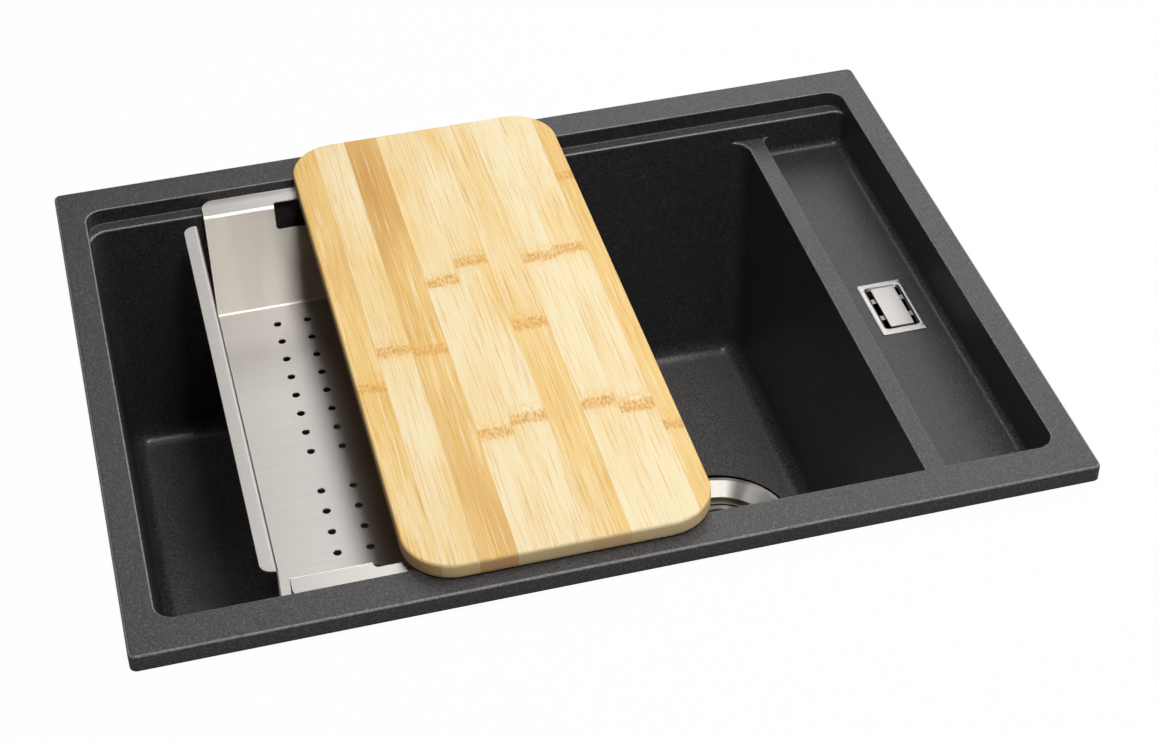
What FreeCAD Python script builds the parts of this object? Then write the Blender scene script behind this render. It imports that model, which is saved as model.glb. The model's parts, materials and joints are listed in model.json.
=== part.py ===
import FreeCAD, Part
import math
import os

# Workstation kitchen sink: a moulded composite basin with one large bowl and a side channel,
# a basket waste, an overflow, clamps for the worktop, a bamboo board and a steel colander tray.
# Millimetres. X runs along the sink to the right, Y to the back, Z up.
# The origin is the middle of the sink, on the worktop's surface, so the rim stands above Z = 0.

Vec = FreeCAD.Vector
UP = Vec(0, 0, 1)
SIDEWAYS = Vec(1, 0, 0)

# ---- driving dimensions -----------------------------------------------------------------
# Rim
rim_length = 650.0
rim_width = 500.0
rim_thickness = 12.5
rim_corner_r = 5.0
rim_edge_r = 2.5
side_rim = 21.0
end_rim = 29.0
opening_corner_r = 12.5
opening_edge_r = 1.5

# Ledge along the front and the back of the opening, which carries the tray
ledge_depth = 13.0
ledge_width = 10.0
ledge_edge_r = 2.0
riser_r = 1.2

# Bowl, divider and side channel; depths are measured from the rim's top
wall = 8.0
draft_angle = 1.0
bowl_corner_r = 15.0
bowl_floor_r = 14.0
bowl_depth_left = 225.5
bowl_depth_right = 240.5
divider_thickness = 14.0
divider_depth = 27.0
bowl_edge_r = 2.0
channel_edge_r = 1.0
channel_width = 67.5
channel_depth = 43.5
channel_corner_r = 7.0
channel_floor_r = 6.0

# Sealing strip in a groove under the rim
seal_inset = 4.5
seal_width = 6.0
seal_depth = 1.5
seal_gap = 0.1

# Worktop clamps
clamp_end_inset = 135.0
clamp_boss_width = 18.0
clamp_boss_height = 15.0
clamp_wall_gap = 8.5
insert_r = 4.5
insert_length = 12.0
clamp_screw_r = 2.5
clamp_screw_length = 34.0
clamp_screw_gap = 1.0
clamp_head_r = 4.5
clamp_head_height = 3.5
claw_width = 14.0
claw_thickness = 2.0
claw_reach = 34.0
claw_tip_height = 8.0

# Place of the waste and the overflow, from the sink's right-hand end
outlet_inset = 184.0
outlet_y = -4.0
overflow_inset = 55.0

# Overflow cover and housing
cover_length = 60.0
cover_width = 35.0
cover_thickness = 1.0
cover_corner_r = 2.0
cover_opening_length = 49.4
cover_opening_width = 26.4
cover_opening_r = 3.0
collar_thickness = 0.8
collar_depth = 7.0
collar_gap = 0.2
lip_width = 2.5
tab_length = 8.0
plate_length = 45.5
plate_width = 18.5
plate_thickness = 1.5
plate_corner_r = 1.2
plate_lift = 0.5
clip_width = 5.0
clip_thickness = 0.5
clip_spacing = 20.0
overflow_screw_r = 1.75
overflow_screw_head_r = 3.3
overflow_screw_head_height = 2.2
overflow_screw_spacing = 40.0
overflow_screw_length = 20.0
gasket_thickness = 2.0
housing_length = 62.0
housing_width = 36.0
housing_depth = 26.0
housing_wall = 2.5
housing_corner_r = 6.0
housing_flange = 5.0
housing_flange_thickness = 3.0
housing_boss_r = 4.2
housing_boss_gap = 0.5

# Overflow hose
hose_bore_r = 10.5
hose_wall = 1.5
hose_bend_r = 50.0
hose_overlap = 18.0
spigot_length = 24.0
spigot_wall = 1.9
hose_clip_width = 9.0
hose_clip_thickness = 1.0
hose_clip_offset = 5.0

# Basket waste
flange_r = 57.0
flange_thickness = 1.2
flange_recess_gap = 1.7
flange_gasket_thickness = 1.5
flange_gasket_inset = 1.0
dish_r = 54.0
dish_slope = 0.5
step_r = 41.0
step_depth = 11.5
cup_r = 38.0
cup_depth = 42.0
cup_holes = 6
cup_hole_r = 7.0
cup_hole_circle_r = 23.0
waste_hole_r = 45.0
waste_pad_r = 66.0
waste_pad_thickness = 10.0
centre_screw_r = 3.0
centre_screw_head_r = 6.0
centre_screw_head_height = 3.5
centre_screw_stub = 1.0
pot_r = 46.5
pot_wall = 2.5
pot_flange_r = 56.0
pot_flange_thickness = 4.0
pot_depth = 46.0
pot_socket_depth = 8.0
spider_boss_r = 9.0
spider_height = 14.0
spider_rib = 4.0
spider_ribs = 3
nut_r = 5.5
nut_height = 5.0
outlet_r = 23.9
outlet_bore_r = 20.5
outlet_length = 22.0
funnel_height = 12.0
inlet_drop = 20.0

# Basket strainer
basket_rim_r = 36.3
basket_rim_drop = 11.0
basket_wall_r = 32.0
basket_bottom_r = 28.0
basket_depth = 25.0
basket_thickness = 1.0
basket_slots = 16
basket_slot_width = 3.0
basket_slot_height = 12.0
basket_hole_r = 2.0
basket_hole_rings = 2
basket_ring_holes = 6
basket_seal_r = 30.0
basket_seal_bore_r = 22.0
basket_seal_gap = 0.3
knob_r = 9.0
knob_height = 6.0
knob_stem_r = 3.0
knob_stem_length = 16.0
knob_rivet_r = 2.0

# Bamboo board
board_end_inset = 10.0
board_width = 208.0
board_thickness = 12.0
board_corner_r = 35.0
board_edge_r = 2.0
board_x = -40.0
board_y = 2.5
board_rest_gap = 0.2

# Colander tray, bent from one steel sheet
sheet = 1.0
bend_r = 1.5
tray_x = -113.5
tray_width = 220.0
tray_end_gap = 0.5
tray_drop = 7.5
tray_depth = 97.5
side_flange = 10.1
side_wall_inset = 9.0
end_wall_width = 206.0
end_flange = 20.5
end_flange_r = 10.0
side_flange_r = 8.0
hand_hole_width = 97.8
hand_hole_depth = 22.5
hand_hole_notch = 5.5
hand_hole_r = 4.0
drain_hole_r = 3.0
drain_hole_pitch_x = 23.7
drain_hole_pitch_y = 22.0
drain_hole_columns = 6
drain_hole_margin = 20.0
glide_width = 7.0
glide_end_inset = 8.0
glide_gap = 0.2

# Screw slots
slot_width = 1.2
small_slot_width = 0.8

# Clearances that several pieces share
thread_gap = 0.05
swing_gap = 0.3
slip_gap = 0.1

# How far a cutting tool runs past what it cuts
past = 1.0

# ---- levels and places worked out from the driving dimensions ---------------------------
rim_top = rim_thickness
ledge_z = rim_top - ledge_depth
divider_z = rim_top - divider_depth
channel_z = rim_top - channel_depth
draft = math.tan(math.radians(draft_angle))
opening_x = rim_length / 2 - side_rim
opening_y = rim_width / 2 - end_rim
pocket_y = opening_y - ledge_width
outlet_x = rim_length / 2 - outlet_inset
overflow_x = rim_length / 2 - overflow_inset
clamp_spacing = rim_length / 2 - clamp_end_inset
divider_right = opening_x - channel_width
divider_left = divider_right - divider_thickness
floor_slope = (bowl_depth_right - bowl_depth_left) / (divider_left + opening_x)


def floor_z(x):
    """Height of the bowl's sloping floor at x."""
    return rim_top - bowl_depth_left - floor_slope * (x + opening_x)


recess_r = flange_r + flange_recess_gap
flange_z = floor_z(outlet_x + recess_r)
recess_z = flange_z - flange_thickness - flange_gasket_thickness
waste_pad_z = recess_z - waste_pad_thickness
cup_z = flange_z - cup_depth
basket_rim_z = flange_z - basket_rim_drop
basket_z = basket_rim_z - basket_depth
pot_top_z = waste_pad_z - gasket_thickness
pot_bottom_z = pot_top_z - pot_depth
inlet_z = pot_top_z - inlet_drop
outlet_z = pot_bottom_z - funnel_height - outlet_length
spider_top_z = cup_z - flange_thickness
spider_z = spider_top_z - spider_height
cover_z = channel_z + cover_thickness
lip_z = cover_z - collar_depth
plate_z = cover_z + plate_lift - plate_thickness
channel_under_z = channel_z - wall
housing_z = channel_under_z - gasket_thickness
housing_bottom_z = housing_z - housing_depth
hose_r = hose_bore_r + hose_wall
hose_top_z = housing_bottom_z - spigot_length + hose_overlap
spigot_r = hose_bore_r - slip_gap
inlet_end_x = outlet_x + pot_r + spigot_length
hose_end_x = inlet_end_x - hose_overlap
clamp_y = pocket_y + wall + clamp_wall_gap
boss_z = ledge_z - wall - clamp_boss_height
insert_top_z = boss_z + insert_length
clamp_head_z = insert_top_z - clamp_screw_length
board_length = rim_width - 2 * board_end_inset
tray_top = rim_top - tray_drop
tray_z = tray_top - tray_depth
tray_length = 2 * (opening_y - tray_end_gap - end_flange)
side_wall_length = tray_length - 2 * side_wall_inset
drain_holes_half_row = int((tray_length / 2 - drain_hole_margin) / drain_hole_pitch_y)


# ---- helpers ----------------------------------------------------------------------------
def box(x0, x1, y0, y1, z0, z1):
    """Axis-aligned block between two corners."""
    return Part.makeBox(x1 - x0, y1 - y0, z1 - z0, Vec(x0, y0, z0))


def cylinder(radius, x, y, z0, z1):
    """Upright cylinder between two heights."""
    return Part.makeCylinder(radius, z1 - z0, Vec(x, y, z0), UP)


def tube(outer_r, inner_r, x, y, z0, z1):
    """Upright tube between two heights."""
    return cylinder(outer_r, x, y, z0, z1).cut(cylinder(inner_r, x, y, z0, z1))


def upright_edges(shape, test=None):
    """Edges that run nearly along Z, or those of them whose middle passes the test."""
    found = []
    for edge in shape.Edges:
        ends = [vertex.Point for vertex in edge.Vertexes]
        if len(ends) != 2:
            continue
        run = ends[1] - ends[0]
        if abs(run.z) < 0.9 * max(run.Length, 1e-6):
            continue
        if test is None or test(edge.CenterOfMass):
            found.append(edge)
    return found


def level_edges(shape, z, test=None):
    """Edges lying at height z, or those of them whose middle passes the test."""
    found = []
    for edge in shape.Edges:
        bounds = edge.BoundBox
        level = abs(bounds.ZMin - z) < 1e-4 and abs(bounds.ZMax - z) < 1e-4
        if level and (test is None or test(edge.CenterOfMass)):
            found.append(edge)
    return found


def rounded_block(x0, x1, y0, y1, z0, z1, corner_r):
    """Block with its four upright edges rounded."""
    block = box(x0, x1, y0, y1, z0, z1)
    return block.makeFillet(corner_r, upright_edges(block))


def centred_block(x, y, width, length, z0, z1, corner_r):
    """Rounded block about an upright middle line."""
    return rounded_block(x - width / 2, x + width / 2, y - length / 2, y + length / 2, z0, z1, corner_r)


def turned(outline, x, y):
    """Solid of revolution of a closed (r, z) polygon about the upright axis at (x, y)."""
    corners = [Vec(r, 0, z) for r, z in outline]
    solid = Part.Face(Part.makePolygon(corners + corners[:1])).revolve(Vec(0, 0, 0), UP, 360)
    solid.translate(Vec(x, y, 0))
    return solid


def around(x, y, count, radius, first_angle=0.0):
    """Points evenly spaced on a circle, each with its angle in degrees."""
    points = []
    for index in range(count):
        angle = first_angle + index * 360.0 / count
        turn = math.radians(angle)
        points.append((x + radius * math.cos(turn), y + radius * math.sin(turn), angle))
    return points


def bent_strip(path, thickness, bend, width, along_x=False):
    """Sheet strip folded along a path, centred on its width.

    The path holds (u, z) points of the sheet's middle surface; u is X, or Y when along_x.
    Every fold has the same inner radius.
    """
    half = thickness / 2
    middle_r = bend + half
    points = [Vec(u, 0, z) for u, z in path]
    steps = [(points[i + 1] - points[i]).normalize() for i in range(len(points) - 1)]
    normals = [Vec(-step.z, 0, step.x) for step in steps]
    outline = []
    for offset in (half, -half):
        start = points[0] + normals[0] * offset
        outline.append(start)
        here = start
        side = []
        for i in range(len(steps) - 1):
            left = steps[i].x * steps[i + 1].z - steps[i].z * steps[i + 1].x > 0
            sign = 1 if left else -1
            turn = steps[i].getAngle(steps[i + 1])
            trim = middle_r * math.tan(turn / 2)
            fold_start = points[i + 1] - steps[i] * trim
            fold_end = points[i + 1] + steps[i + 1] * trim
            centre = fold_start + normals[i] * (sign * middle_r)
            towards = (normals[i] + normals[i + 1]).normalize() * sign
            middle = centre - towards * (middle_r - sign * offset)
            before = fold_start + normals[i] * offset
            after = fold_end + normals[i + 1] * offset
            side.append(Part.makeLine(here, before))
            side.append(Part.Arc(before, middle, after).toShape())
            here = after
        last = points[-1] + normals[-1] * offset
        side.append(Part.makeLine(here, last))
        outline.append(last)
        if offset > 0:
            edges = side
        else:
            edges = edges + side
    edges.append(Part.makeLine(outline[0], outline[2]))
    edges.append(Part.makeLine(outline[1], outline[3]))
    profile = Part.Face(Part.Wire(Part.__sortEdges__(edges)))
    strip = profile.extrude(Vec(0, width, 0))
    strip.translate(Vec(0, -width / 2, 0))
    if along_x:
        strip.rotate(Vec(0, 0, 0), UP, 90)
    return strip


def fused(shapes):
    """One clean solid from overlapping shapes."""
    return shapes[0].multiFuse(shapes[1:]).removeSplitter()


def save(name, *solids):
    """Write one sub-part, made of one solid or of several separate ones."""
    shape = solids[0] if len(solids) == 1 else Part.makeCompound(list(solids))
    shape.exportStep("parts/" + name + ".step")


# ---- basin ------------------------------------------------------------------------------
def drafted_block(x0, x1, half_y, top, bottom):
    """Block whose four sides lean inwards with depth, measured from the ledge's level."""
    rings = []
    for z in (top, bottom):
        inset = draft * (ledge_z - z)
        west, east = x0 + inset, x1 - inset
        south, north = inset - half_y, half_y - inset
        rings.append([Vec(west, south, z), Vec(east, south, z), Vec(east, north, z), Vec(west, north, z)])
    upper, lower = rings
    faces = [Part.Face(Part.makePolygon(corners + corners[:1])) for corners in rings]
    for index in range(4):
        after = (index + 1) % 4
        side = [upper[index], upper[after], lower[after], lower[index], upper[index]]
        faces.append(Part.Face(Part.makePolygon(side)))
    return Part.makeSolid(Part.makeShell(faces))


def above_floor(drop):
    """Everything above the bowl's sloping floor, moved down by drop."""
    reach = rim_length
    corners = [Vec(-reach, -reach, floor_z(-reach) - drop), Vec(reach, -reach, floor_z(reach) - drop)]
    corners += [Vec(reach, -reach, reach), Vec(-reach, -reach, reach)]
    return Part.Face(Part.makePolygon(corners + corners[:1])).extrude(Vec(0, 2 * reach, 0))


def round_lowest(shape, radius):
    """Round the edges of the lowest face."""
    lowest = min(shape.Faces, key=lambda face: face.CenterOfMass.z)
    return shape.makeFillet(radius, lowest.Edges)


def bowl_form(top, grow=0.0):
    """The bowl's space, or its outer form when grown by the wall."""
    below = rim_top - bowl_depth_right - 3 * wall
    block = drafted_block(-opening_x - grow, divider_left + grow, pocket_y + grow, top, below)
    block = block.common(above_floor(grow))
    block = block.makeFillet(bowl_corner_r + grow, upright_edges(block))
    return round_lowest(block, bowl_floor_r + grow)


def channel_form(top, left, grow=0.0):
    """The side channel's space, or its outer form when grown by the wall."""
    block = drafted_block(left, opening_x + grow, pocket_y + grow, top, channel_z - grow)
    block = block.makeFillet(channel_corner_r + grow, upright_edges(block))
    return round_lowest(block, channel_floor_r + grow)


def pocket_form(top, bottom, grow=0.0):
    """Space between the ledges, over bowl, divider and channel."""
    block = drafted_block(-opening_x - grow, opening_x + grow, pocket_y + grow, top, bottom)
    block = block.makeFillet(bowl_corner_r + grow, upright_edges(block, lambda middle: middle.x < 0))
    return block.makeFillet(channel_corner_r + grow, upright_edges(block, lambda middle: middle.x > 0))


def with_mouth(form, level, edge_r):
    """A space with its mouth at level flared by a rounded edge, under a wide slab."""
    slab = box(-rim_length, rim_length, -rim_width, rim_width, level, level + wall)
    whole = slab.fuse(form).removeSplitter()
    half_x = rim_length / 2
    half_y = rim_width / 2
    rim_edges = level_edges(whole, level, lambda middle: abs(middle.x) < half_x and abs(middle.y) < half_y)
    return whole.makeFillet(edge_r, rim_edges)


def opening_prism(bottom):
    """The opening's outline, from a depth up to the rim's top."""
    return rounded_block(-opening_x, opening_x, -opening_y, opening_y, bottom, rim_top, opening_corner_r)


def inner_space():
    """Everything hollow in the basin, from the opening down to the bowl and the channel."""
    recess = opening_prism(ledge_z)
    recess = recess.makeFillet(riser_r, level_edges(recess, ledge_z))
    opening = with_mouth(recess, rim_top, opening_edge_r)
    shaft = opening_prism(channel_z)
    riser_clear = pocket_form(rim_top, ledge_z, ledge_edge_r).common(shaft)
    pocket = with_mouth(pocket_form(ledge_z, divider_z), ledge_z, ledge_edge_r).common(shaft)
    pocket = pocket.common(box(-rim_length, rim_length, -rim_width, rim_width, channel_z, ledge_z))
    throat = pocket_form(ledge_z, channel_z)
    bowl = bowl_form(divider_z)
    channel = channel_form(divider_z, divider_right)
    bowl_mouth = with_mouth(bowl, divider_z, bowl_edge_r).common(throat)
    channel_mouth = with_mouth(channel, divider_z, channel_edge_r).common(throat)
    return opening.multiFuse([riser_clear, pocket, bowl_mouth, channel_mouth, bowl, channel])


def clamp_places():
    """Axis of each clamp screw, with its name and -1 for the front row or 1 for the back row."""
    places = []
    for row, side in (("front", -1), ("back", 1)):
        for column, index in (("left", -1), ("mid", 0), ("right", 1)):
            places.append((row + "_" + column, index * clamp_spacing, side * clamp_y, side))
    return places


def seal_ring(inset, width, bottom, top):
    """Rectangular ring under the rim, from its outer inset and its width."""
    half_x = rim_length / 2 - inset
    half_y = rim_width / 2 - inset
    outer = rounded_block(-half_x, half_x, -half_y, half_y, bottom, top, rim_corner_r)
    inner = rounded_block(width - half_x, half_x - width, width - half_y, half_y - width, bottom, top,
                          rim_corner_r / 2)
    return outer.cut(inner)


def waste_seat():
    """Hole for the waste with its dished seat, cut from the bowl's floor."""
    hole_top = recess_z - dish_slope * (dish_r - waste_hole_r)
    top = flange_z + wall
    foot = waste_pad_z - past
    outline = [(0, top), (recess_r, top), (recess_r, recess_z), (dish_r, recess_z)]
    outline += [(waste_hole_r, hole_top), (waste_hole_r, foot), (0, foot)]
    return turned(outline, outlet_x, outlet_y)


def sink_basin():
    half_x = rim_length / 2
    half_y = rim_width / 2
    rim = rounded_block(-half_x, half_x, -half_y, half_y, 0, rim_top, rim_corner_r)
    rim = rim.makeFillet(rim_edge_r, level_edges(rim, rim_top))
    outer_x = opening_x + wall
    outer_y = opening_y + wall
    ledges = rounded_block(-outer_x, outer_x, -outer_y, outer_y, ledge_z - wall, rim_top / 2,
                           opening_corner_r + wall)
    channel_start = divider_left - 2 * (bowl_corner_r + wall)
    solids = [rim, ledges, bowl_form(ledge_z, wall), channel_form(ledge_z, channel_start, wall)]
    solids.append(cylinder(waste_pad_r, outlet_x, outlet_y, waste_pad_z, recess_z))
    half = clamp_boss_width / 2
    for name, x, y, side in clamp_places():
        near, far = sorted((side * (pocket_y + wall / 2), y + side * half))
        solids.append(box(x - half, x + half, near, far, boss_z, ledge_z - wall / 2))
    basin = fused(solids).cut(inner_space())
    basin = basin.cut(waste_seat())
    grow = 2 * (collar_thickness + collar_gap)
    basin = basin.cut(centred_block(overflow_x, outlet_y, cover_opening_width + grow,
                                    cover_opening_length + grow, channel_under_z - past, channel_z + past,
                                    cover_opening_r + grow / 2))
    for name, x, y, side in clamp_places():
        basin = basin.cut(cylinder(insert_r, x, y, boss_z - past, insert_top_z))
    return basin.cut(seal_ring(seal_inset, seal_width, -past, seal_depth)).removeSplitter()


def rim_seal_strip():
    return seal_ring(seal_inset + seal_gap, seal_width - 2 * seal_gap, 0, seal_depth)


# ---- worktop clamps ---------------------------------------------------------------------
def clamp_insert(x, y):
    """Plastic insert pressed into a boss under the rim."""
    return tube(insert_r, clamp_screw_r + thread_gap, x, y, boss_z, insert_top_z)


def clamp_screw(x, y):
    shank = cylinder(clamp_screw_r, x, y, clamp_head_z, insert_top_z - clamp_screw_gap)
    head = cylinder(clamp_head_r, x, y, clamp_head_z - clamp_head_height, clamp_head_z)
    slot = box(x - clamp_head_r, x + clamp_head_r, y - slot_width / 2, y + slot_width / 2,
               clamp_head_z - clamp_head_height, clamp_head_z - clamp_head_height / 2)
    return shank.fuse(head).cut(slot).removeSplitter()


def clamp_claw(x, y):
    """Claw parked along +X inside the cut-out, its tip turned up towards the worktop."""
    level = clamp_head_z + slip_gap + claw_thickness / 2
    path = [(0, level), (claw_reach, level), (claw_reach, level + claw_tip_height)]
    arm = bent_strip(path, claw_thickness, claw_thickness, claw_width)
    arm.translate(Vec(x, y, 0))
    z0 = level - claw_thickness / 2
    hub = cylinder(claw_width / 2, x, y, z0, z0 + claw_thickness)
    hole = cylinder(clamp_screw_r + swing_gap, x, y, z0 - past, z0 + claw_thickness + past)
    return arm.fuse(hub).cut(hole).removeSplitter()


# ---- overflow ---------------------------------------------------------------------------
def overflow_frame():
    """Stainless frame with a collar into the channel's floor and a lip at the collar's foot."""
    grow = 2 * collar_thickness
    flange = centred_block(overflow_x, outlet_y, cover_width, cover_length, channel_z, cover_z,
                           cover_corner_r)
    collar = centred_block(overflow_x, outlet_y, cover_opening_width + grow, cover_opening_length + grow,
                           lip_z, cover_z, cover_opening_r + collar_thickness)
    inside = centred_block(overflow_x, outlet_y, cover_opening_width, cover_opening_length,
                           lip_z + collar_thickness, cover_z + past, cover_opening_r)
    through = centred_block(overflow_x, outlet_y, cover_opening_width - 2 * lip_width,
                            cover_opening_length - 2 * tab_length, lip_z - past, cover_z, cover_opening_r)
    frame = flange.fuse(collar).cut(inside).cut(through)
    for y in overflow_screw_rows():
        frame = frame.cut(cylinder(overflow_screw_r + swing_gap, overflow_x, y, lip_z - past, cover_z))
    return frame.removeSplitter()


def overflow_screw_rows():
    return (outlet_y - overflow_screw_spacing / 2, outlet_y + overflow_screw_spacing / 2)


def overflow_plate():
    top = plate_z + plate_thickness
    plate = centred_block(overflow_x, outlet_y, plate_width, plate_length, plate_z, top, plate_corner_r)
    return plate.makeFillet(plate_thickness / 4, level_edges(plate, top))


def overflow_plate_clip(y):
    """Bridge spring under the plate; its legs stand on the frame's lip."""
    reach = cover_opening_width / 2 - slip_gap - clip_thickness / 2
    top = plate_z - clip_thickness / 2
    foot = lip_z + collar_thickness
    path = [(-reach, foot), (-reach, top), (reach, top), (reach, foot)]
    clip = bent_strip(path, clip_thickness, clip_thickness, clip_width)
    clip.translate(Vec(overflow_x, y, 0))
    return clip


def overflow_screw(y):
    top = lip_z + collar_thickness
    shank = cylinder(overflow_screw_r, overflow_x, y, top - overflow_screw_length, top)
    head = cylinder(overflow_screw_head_r, overflow_x, y, top, top + overflow_screw_head_height)
    slot = box(overflow_x - overflow_screw_head_r, overflow_x + overflow_screw_head_r,
               y - small_slot_width / 2, y + small_slot_width / 2,
               top + overflow_screw_head_height / 2, top + overflow_screw_head_height)
    return shank.fuse(head).cut(slot).removeSplitter()


def housing_outline(grow, z0, z1):
    """Block on the overflow housing's plan, grown by grow on every side."""
    return centred_block(overflow_x, outlet_y, housing_width + 2 * grow, housing_length + 2 * grow, z0, z1,
                         housing_corner_r + grow)


def overflow_gasket():
    ring = housing_outline(housing_flange, housing_z, channel_under_z)
    return ring.cut(housing_outline(-housing_wall, housing_z, channel_under_z))


def overflow_housing():
    """Plastic box under the channel, with screw bosses and a spigot for the hose."""
    flange = housing_outline(housing_flange, housing_z - housing_flange_thickness, housing_z)
    body = housing_outline(0, housing_bottom_z, housing_z)
    inside = housing_outline(-housing_wall, housing_bottom_z + housing_wall, housing_z + past)
    spigot = cylinder(spigot_r, overflow_x, outlet_y, housing_bottom_z - spigot_length,
                      housing_bottom_z + housing_wall)
    housing = flange.fuse(body).cut(inside).fuse(spigot)
    housing = housing.cut(cylinder(spigot_r - spigot_wall, overflow_x, outlet_y,
                                   housing_bottom_z - spigot_length, housing_bottom_z + housing_wall))
    for y in overflow_screw_rows():
        boss = cylinder(housing_boss_r, overflow_x, y, housing_bottom_z + housing_wall / 2,
                        lip_z - housing_boss_gap)
        housing = housing.fuse(boss)
        pilot_z = lip_z + collar_thickness - overflow_screw_length - past
        housing = housing.cut(cylinder(overflow_screw_r + thread_gap, overflow_x, y, pilot_z, lip_z))
    return housing.removeSplitter()


def overflow_hose():
    """Hose from the housing's spigot down and across to the waste's side inlet."""
    turn = hose_bend_r * math.sin(math.radians(45))
    top = Vec(overflow_x, outlet_y, hose_top_z)
    bend_start = Vec(overflow_x, outlet_y, inlet_z + hose_bend_r)
    bend_middle = Vec(overflow_x - hose_bend_r + turn, outlet_y, inlet_z + hose_bend_r - turn)
    bend_end = Vec(overflow_x - hose_bend_r, outlet_y, inlet_z)
    end = Vec(hose_end_x, outlet_y, inlet_z)
    path = Part.Wire([Part.makeLine(top, bend_start), Part.Arc(bend_start, bend_middle, bend_end).toShape(),
                      Part.makeLine(bend_end, end)])
    solids = []
    for radius in (hose_r, hose_bore_r):
        circle = Part.Wire([Part.makeCircle(radius, top, UP)])
        solids.append(path.makePipeShell([circle], True, False))
    return solids[0].cut(solids[1])


def hose_clip(along):
    """Band clip about its own axis, with a worm-screw housing on one side."""
    half = hose_clip_width / 2
    inner_r = hose_r + thread_gap
    outer_r = inner_r + hose_clip_thickness
    lug = box(-half, half, inner_r + hose_clip_thickness / 2, outer_r + half, -half, half)
    band = cylinder(outer_r, 0, 0, -half, half)
    clip = band.fuse(lug).cut(cylinder(inner_r, 0, 0, -half - past, half + past)).removeSplitter()
    clip.rotate(Vec(0, 0, 0), Vec(0, 1, 0), 90 if along == "x" else 0)
    return clip


# ---- basket waste -----------------------------------------------------------------------
def waste_flange():
    """Stainless flange, dished down to a step and a cup with holes in its floor."""
    t = flange_thickness
    dish_drop = dish_slope * (dish_r - step_r)
    outline = [(flange_r, flange_z), (dish_r, flange_z), (step_r, flange_z - dish_drop)]
    outline += [(step_r, flange_z - step_depth), (cup_r, flange_z - step_depth), (cup_r, cup_z), (0, cup_z)]
    outline += [(0, cup_z - t), (cup_r + t, cup_z - t), (cup_r + t, flange_z - step_depth - t)]
    outline += [(step_r + t, flange_z - step_depth - t)]
    outline += [(step_r + t, flange_z - dish_drop - t + dish_slope * t)]
    outline += [(dish_r, flange_z - t), (flange_r, flange_z - t)]
    flange = turned(outline, outlet_x, outlet_y)
    for x, y, angle in around(outlet_x, outlet_y, cup_holes, cup_hole_circle_r, 180.0 / cup_holes):
        flange = flange.cut(cylinder(cup_hole_r, x, y, cup_z - t - past, cup_z + past))
    hole = cylinder(centre_screw_r + thread_gap, outlet_x, outlet_y, cup_z - t - past, cup_z + past)
    return flange.cut(hole)


def waste_flange_gasket():
    top = flange_z - flange_thickness
    drop = dish_slope * (dish_r - waste_hole_r)
    inner_r = waste_hole_r
    outer_r = flange_r - flange_gasket_inset
    t = flange_gasket_thickness
    outline = [(outer_r, top), (dish_r, top), (inner_r, top - drop), (inner_r, top - drop - t)]
    outline += [(dish_r, top - t), (outer_r, top - t)]
    return turned(outline, outlet_x, outlet_y)


def waste_lower_gasket():
    return tube(pot_flange_r, pot_r, outlet_x, outlet_y, pot_top_z, waste_pad_z)


def waste_body():
    """Plastic pot with a side inlet and a spider for the centre screw."""
    inner_r = pot_r - pot_wall
    outline = [(pot_flange_r, pot_top_z), (pot_flange_r, pot_top_z - pot_flange_thickness)]
    outline += [(pot_r, pot_top_z - pot_flange_thickness), (pot_r, pot_bottom_z)]
    outline += [(inner_r, pot_bottom_z), (inner_r, pot_top_z)]
    body = turned(outline, outlet_x, outlet_y)
    start = Vec(outlet_x + inner_r, outlet_y, inlet_z)
    body = body.fuse(Part.makeCylinder(spigot_r, inlet_end_x - start.x, start, SIDEWAYS))
    start.x = outlet_x + inner_r / 2
    bore = Part.makeCylinder(spigot_r - spigot_wall, inlet_end_x - start.x, start, SIDEWAYS)
    inside = cylinder(inner_r, outlet_x, outlet_y, pot_bottom_z, pot_top_z)
    body = body.cut(inside).cut(bore)
    boss = cylinder(spider_boss_r, outlet_x, outlet_y, spider_z, spider_top_z)
    for x, y, angle in around(outlet_x, outlet_y, spider_ribs, 0, 180.0 / spider_ribs):
        rib = box(0, inner_r + pot_wall / 2, -spider_rib / 2, spider_rib / 2, spider_z, spider_top_z)
        rib.rotate(Vec(0, 0, 0), UP, angle)
        rib.translate(Vec(outlet_x, outlet_y, 0))
        boss = boss.fuse(rib)
    body = body.fuse(boss)
    hole = cylinder(centre_screw_r + thread_gap, outlet_x, outlet_y, spider_z - past, spider_top_z + past)
    return body.cut(hole).removeSplitter()


def waste_tailpiece():
    """Funnel and threaded outlet, whose upper ring is glued round the pot's foot."""
    socket_r = pot_r + pot_wall
    funnel_z = pot_bottom_z - funnel_height
    outline = [(pot_r, pot_bottom_z + pot_socket_depth), (socket_r, pot_bottom_z + pot_socket_depth)]
    outline += [(socket_r, pot_bottom_z - pot_wall), (outlet_r, funnel_z), (outlet_r, outlet_z)]
    outline += [(outlet_bore_r, outlet_z), (outlet_bore_r, funnel_z + pot_wall)]
    outline += [(pot_r - pot_wall, pot_bottom_z), (pot_r, pot_bottom_z)]
    return turned(outline, outlet_x, outlet_y)


def waste_centre_screw():
    end_z = spider_z - nut_height - centre_screw_stub
    shank = cylinder(centre_screw_r, outlet_x, outlet_y, end_z, cup_z)
    head = cylinder(centre_screw_head_r, outlet_x, outlet_y, cup_z, cup_z + centre_screw_head_height)
    slot = box(outlet_x - centre_screw_head_r, outlet_x + centre_screw_head_r,
               outlet_y - slot_width / 2, outlet_y + slot_width / 2,
               cup_z + centre_screw_head_height / 2, cup_z + centre_screw_head_height)
    return shank.fuse(head).cut(slot).removeSplitter()


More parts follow.
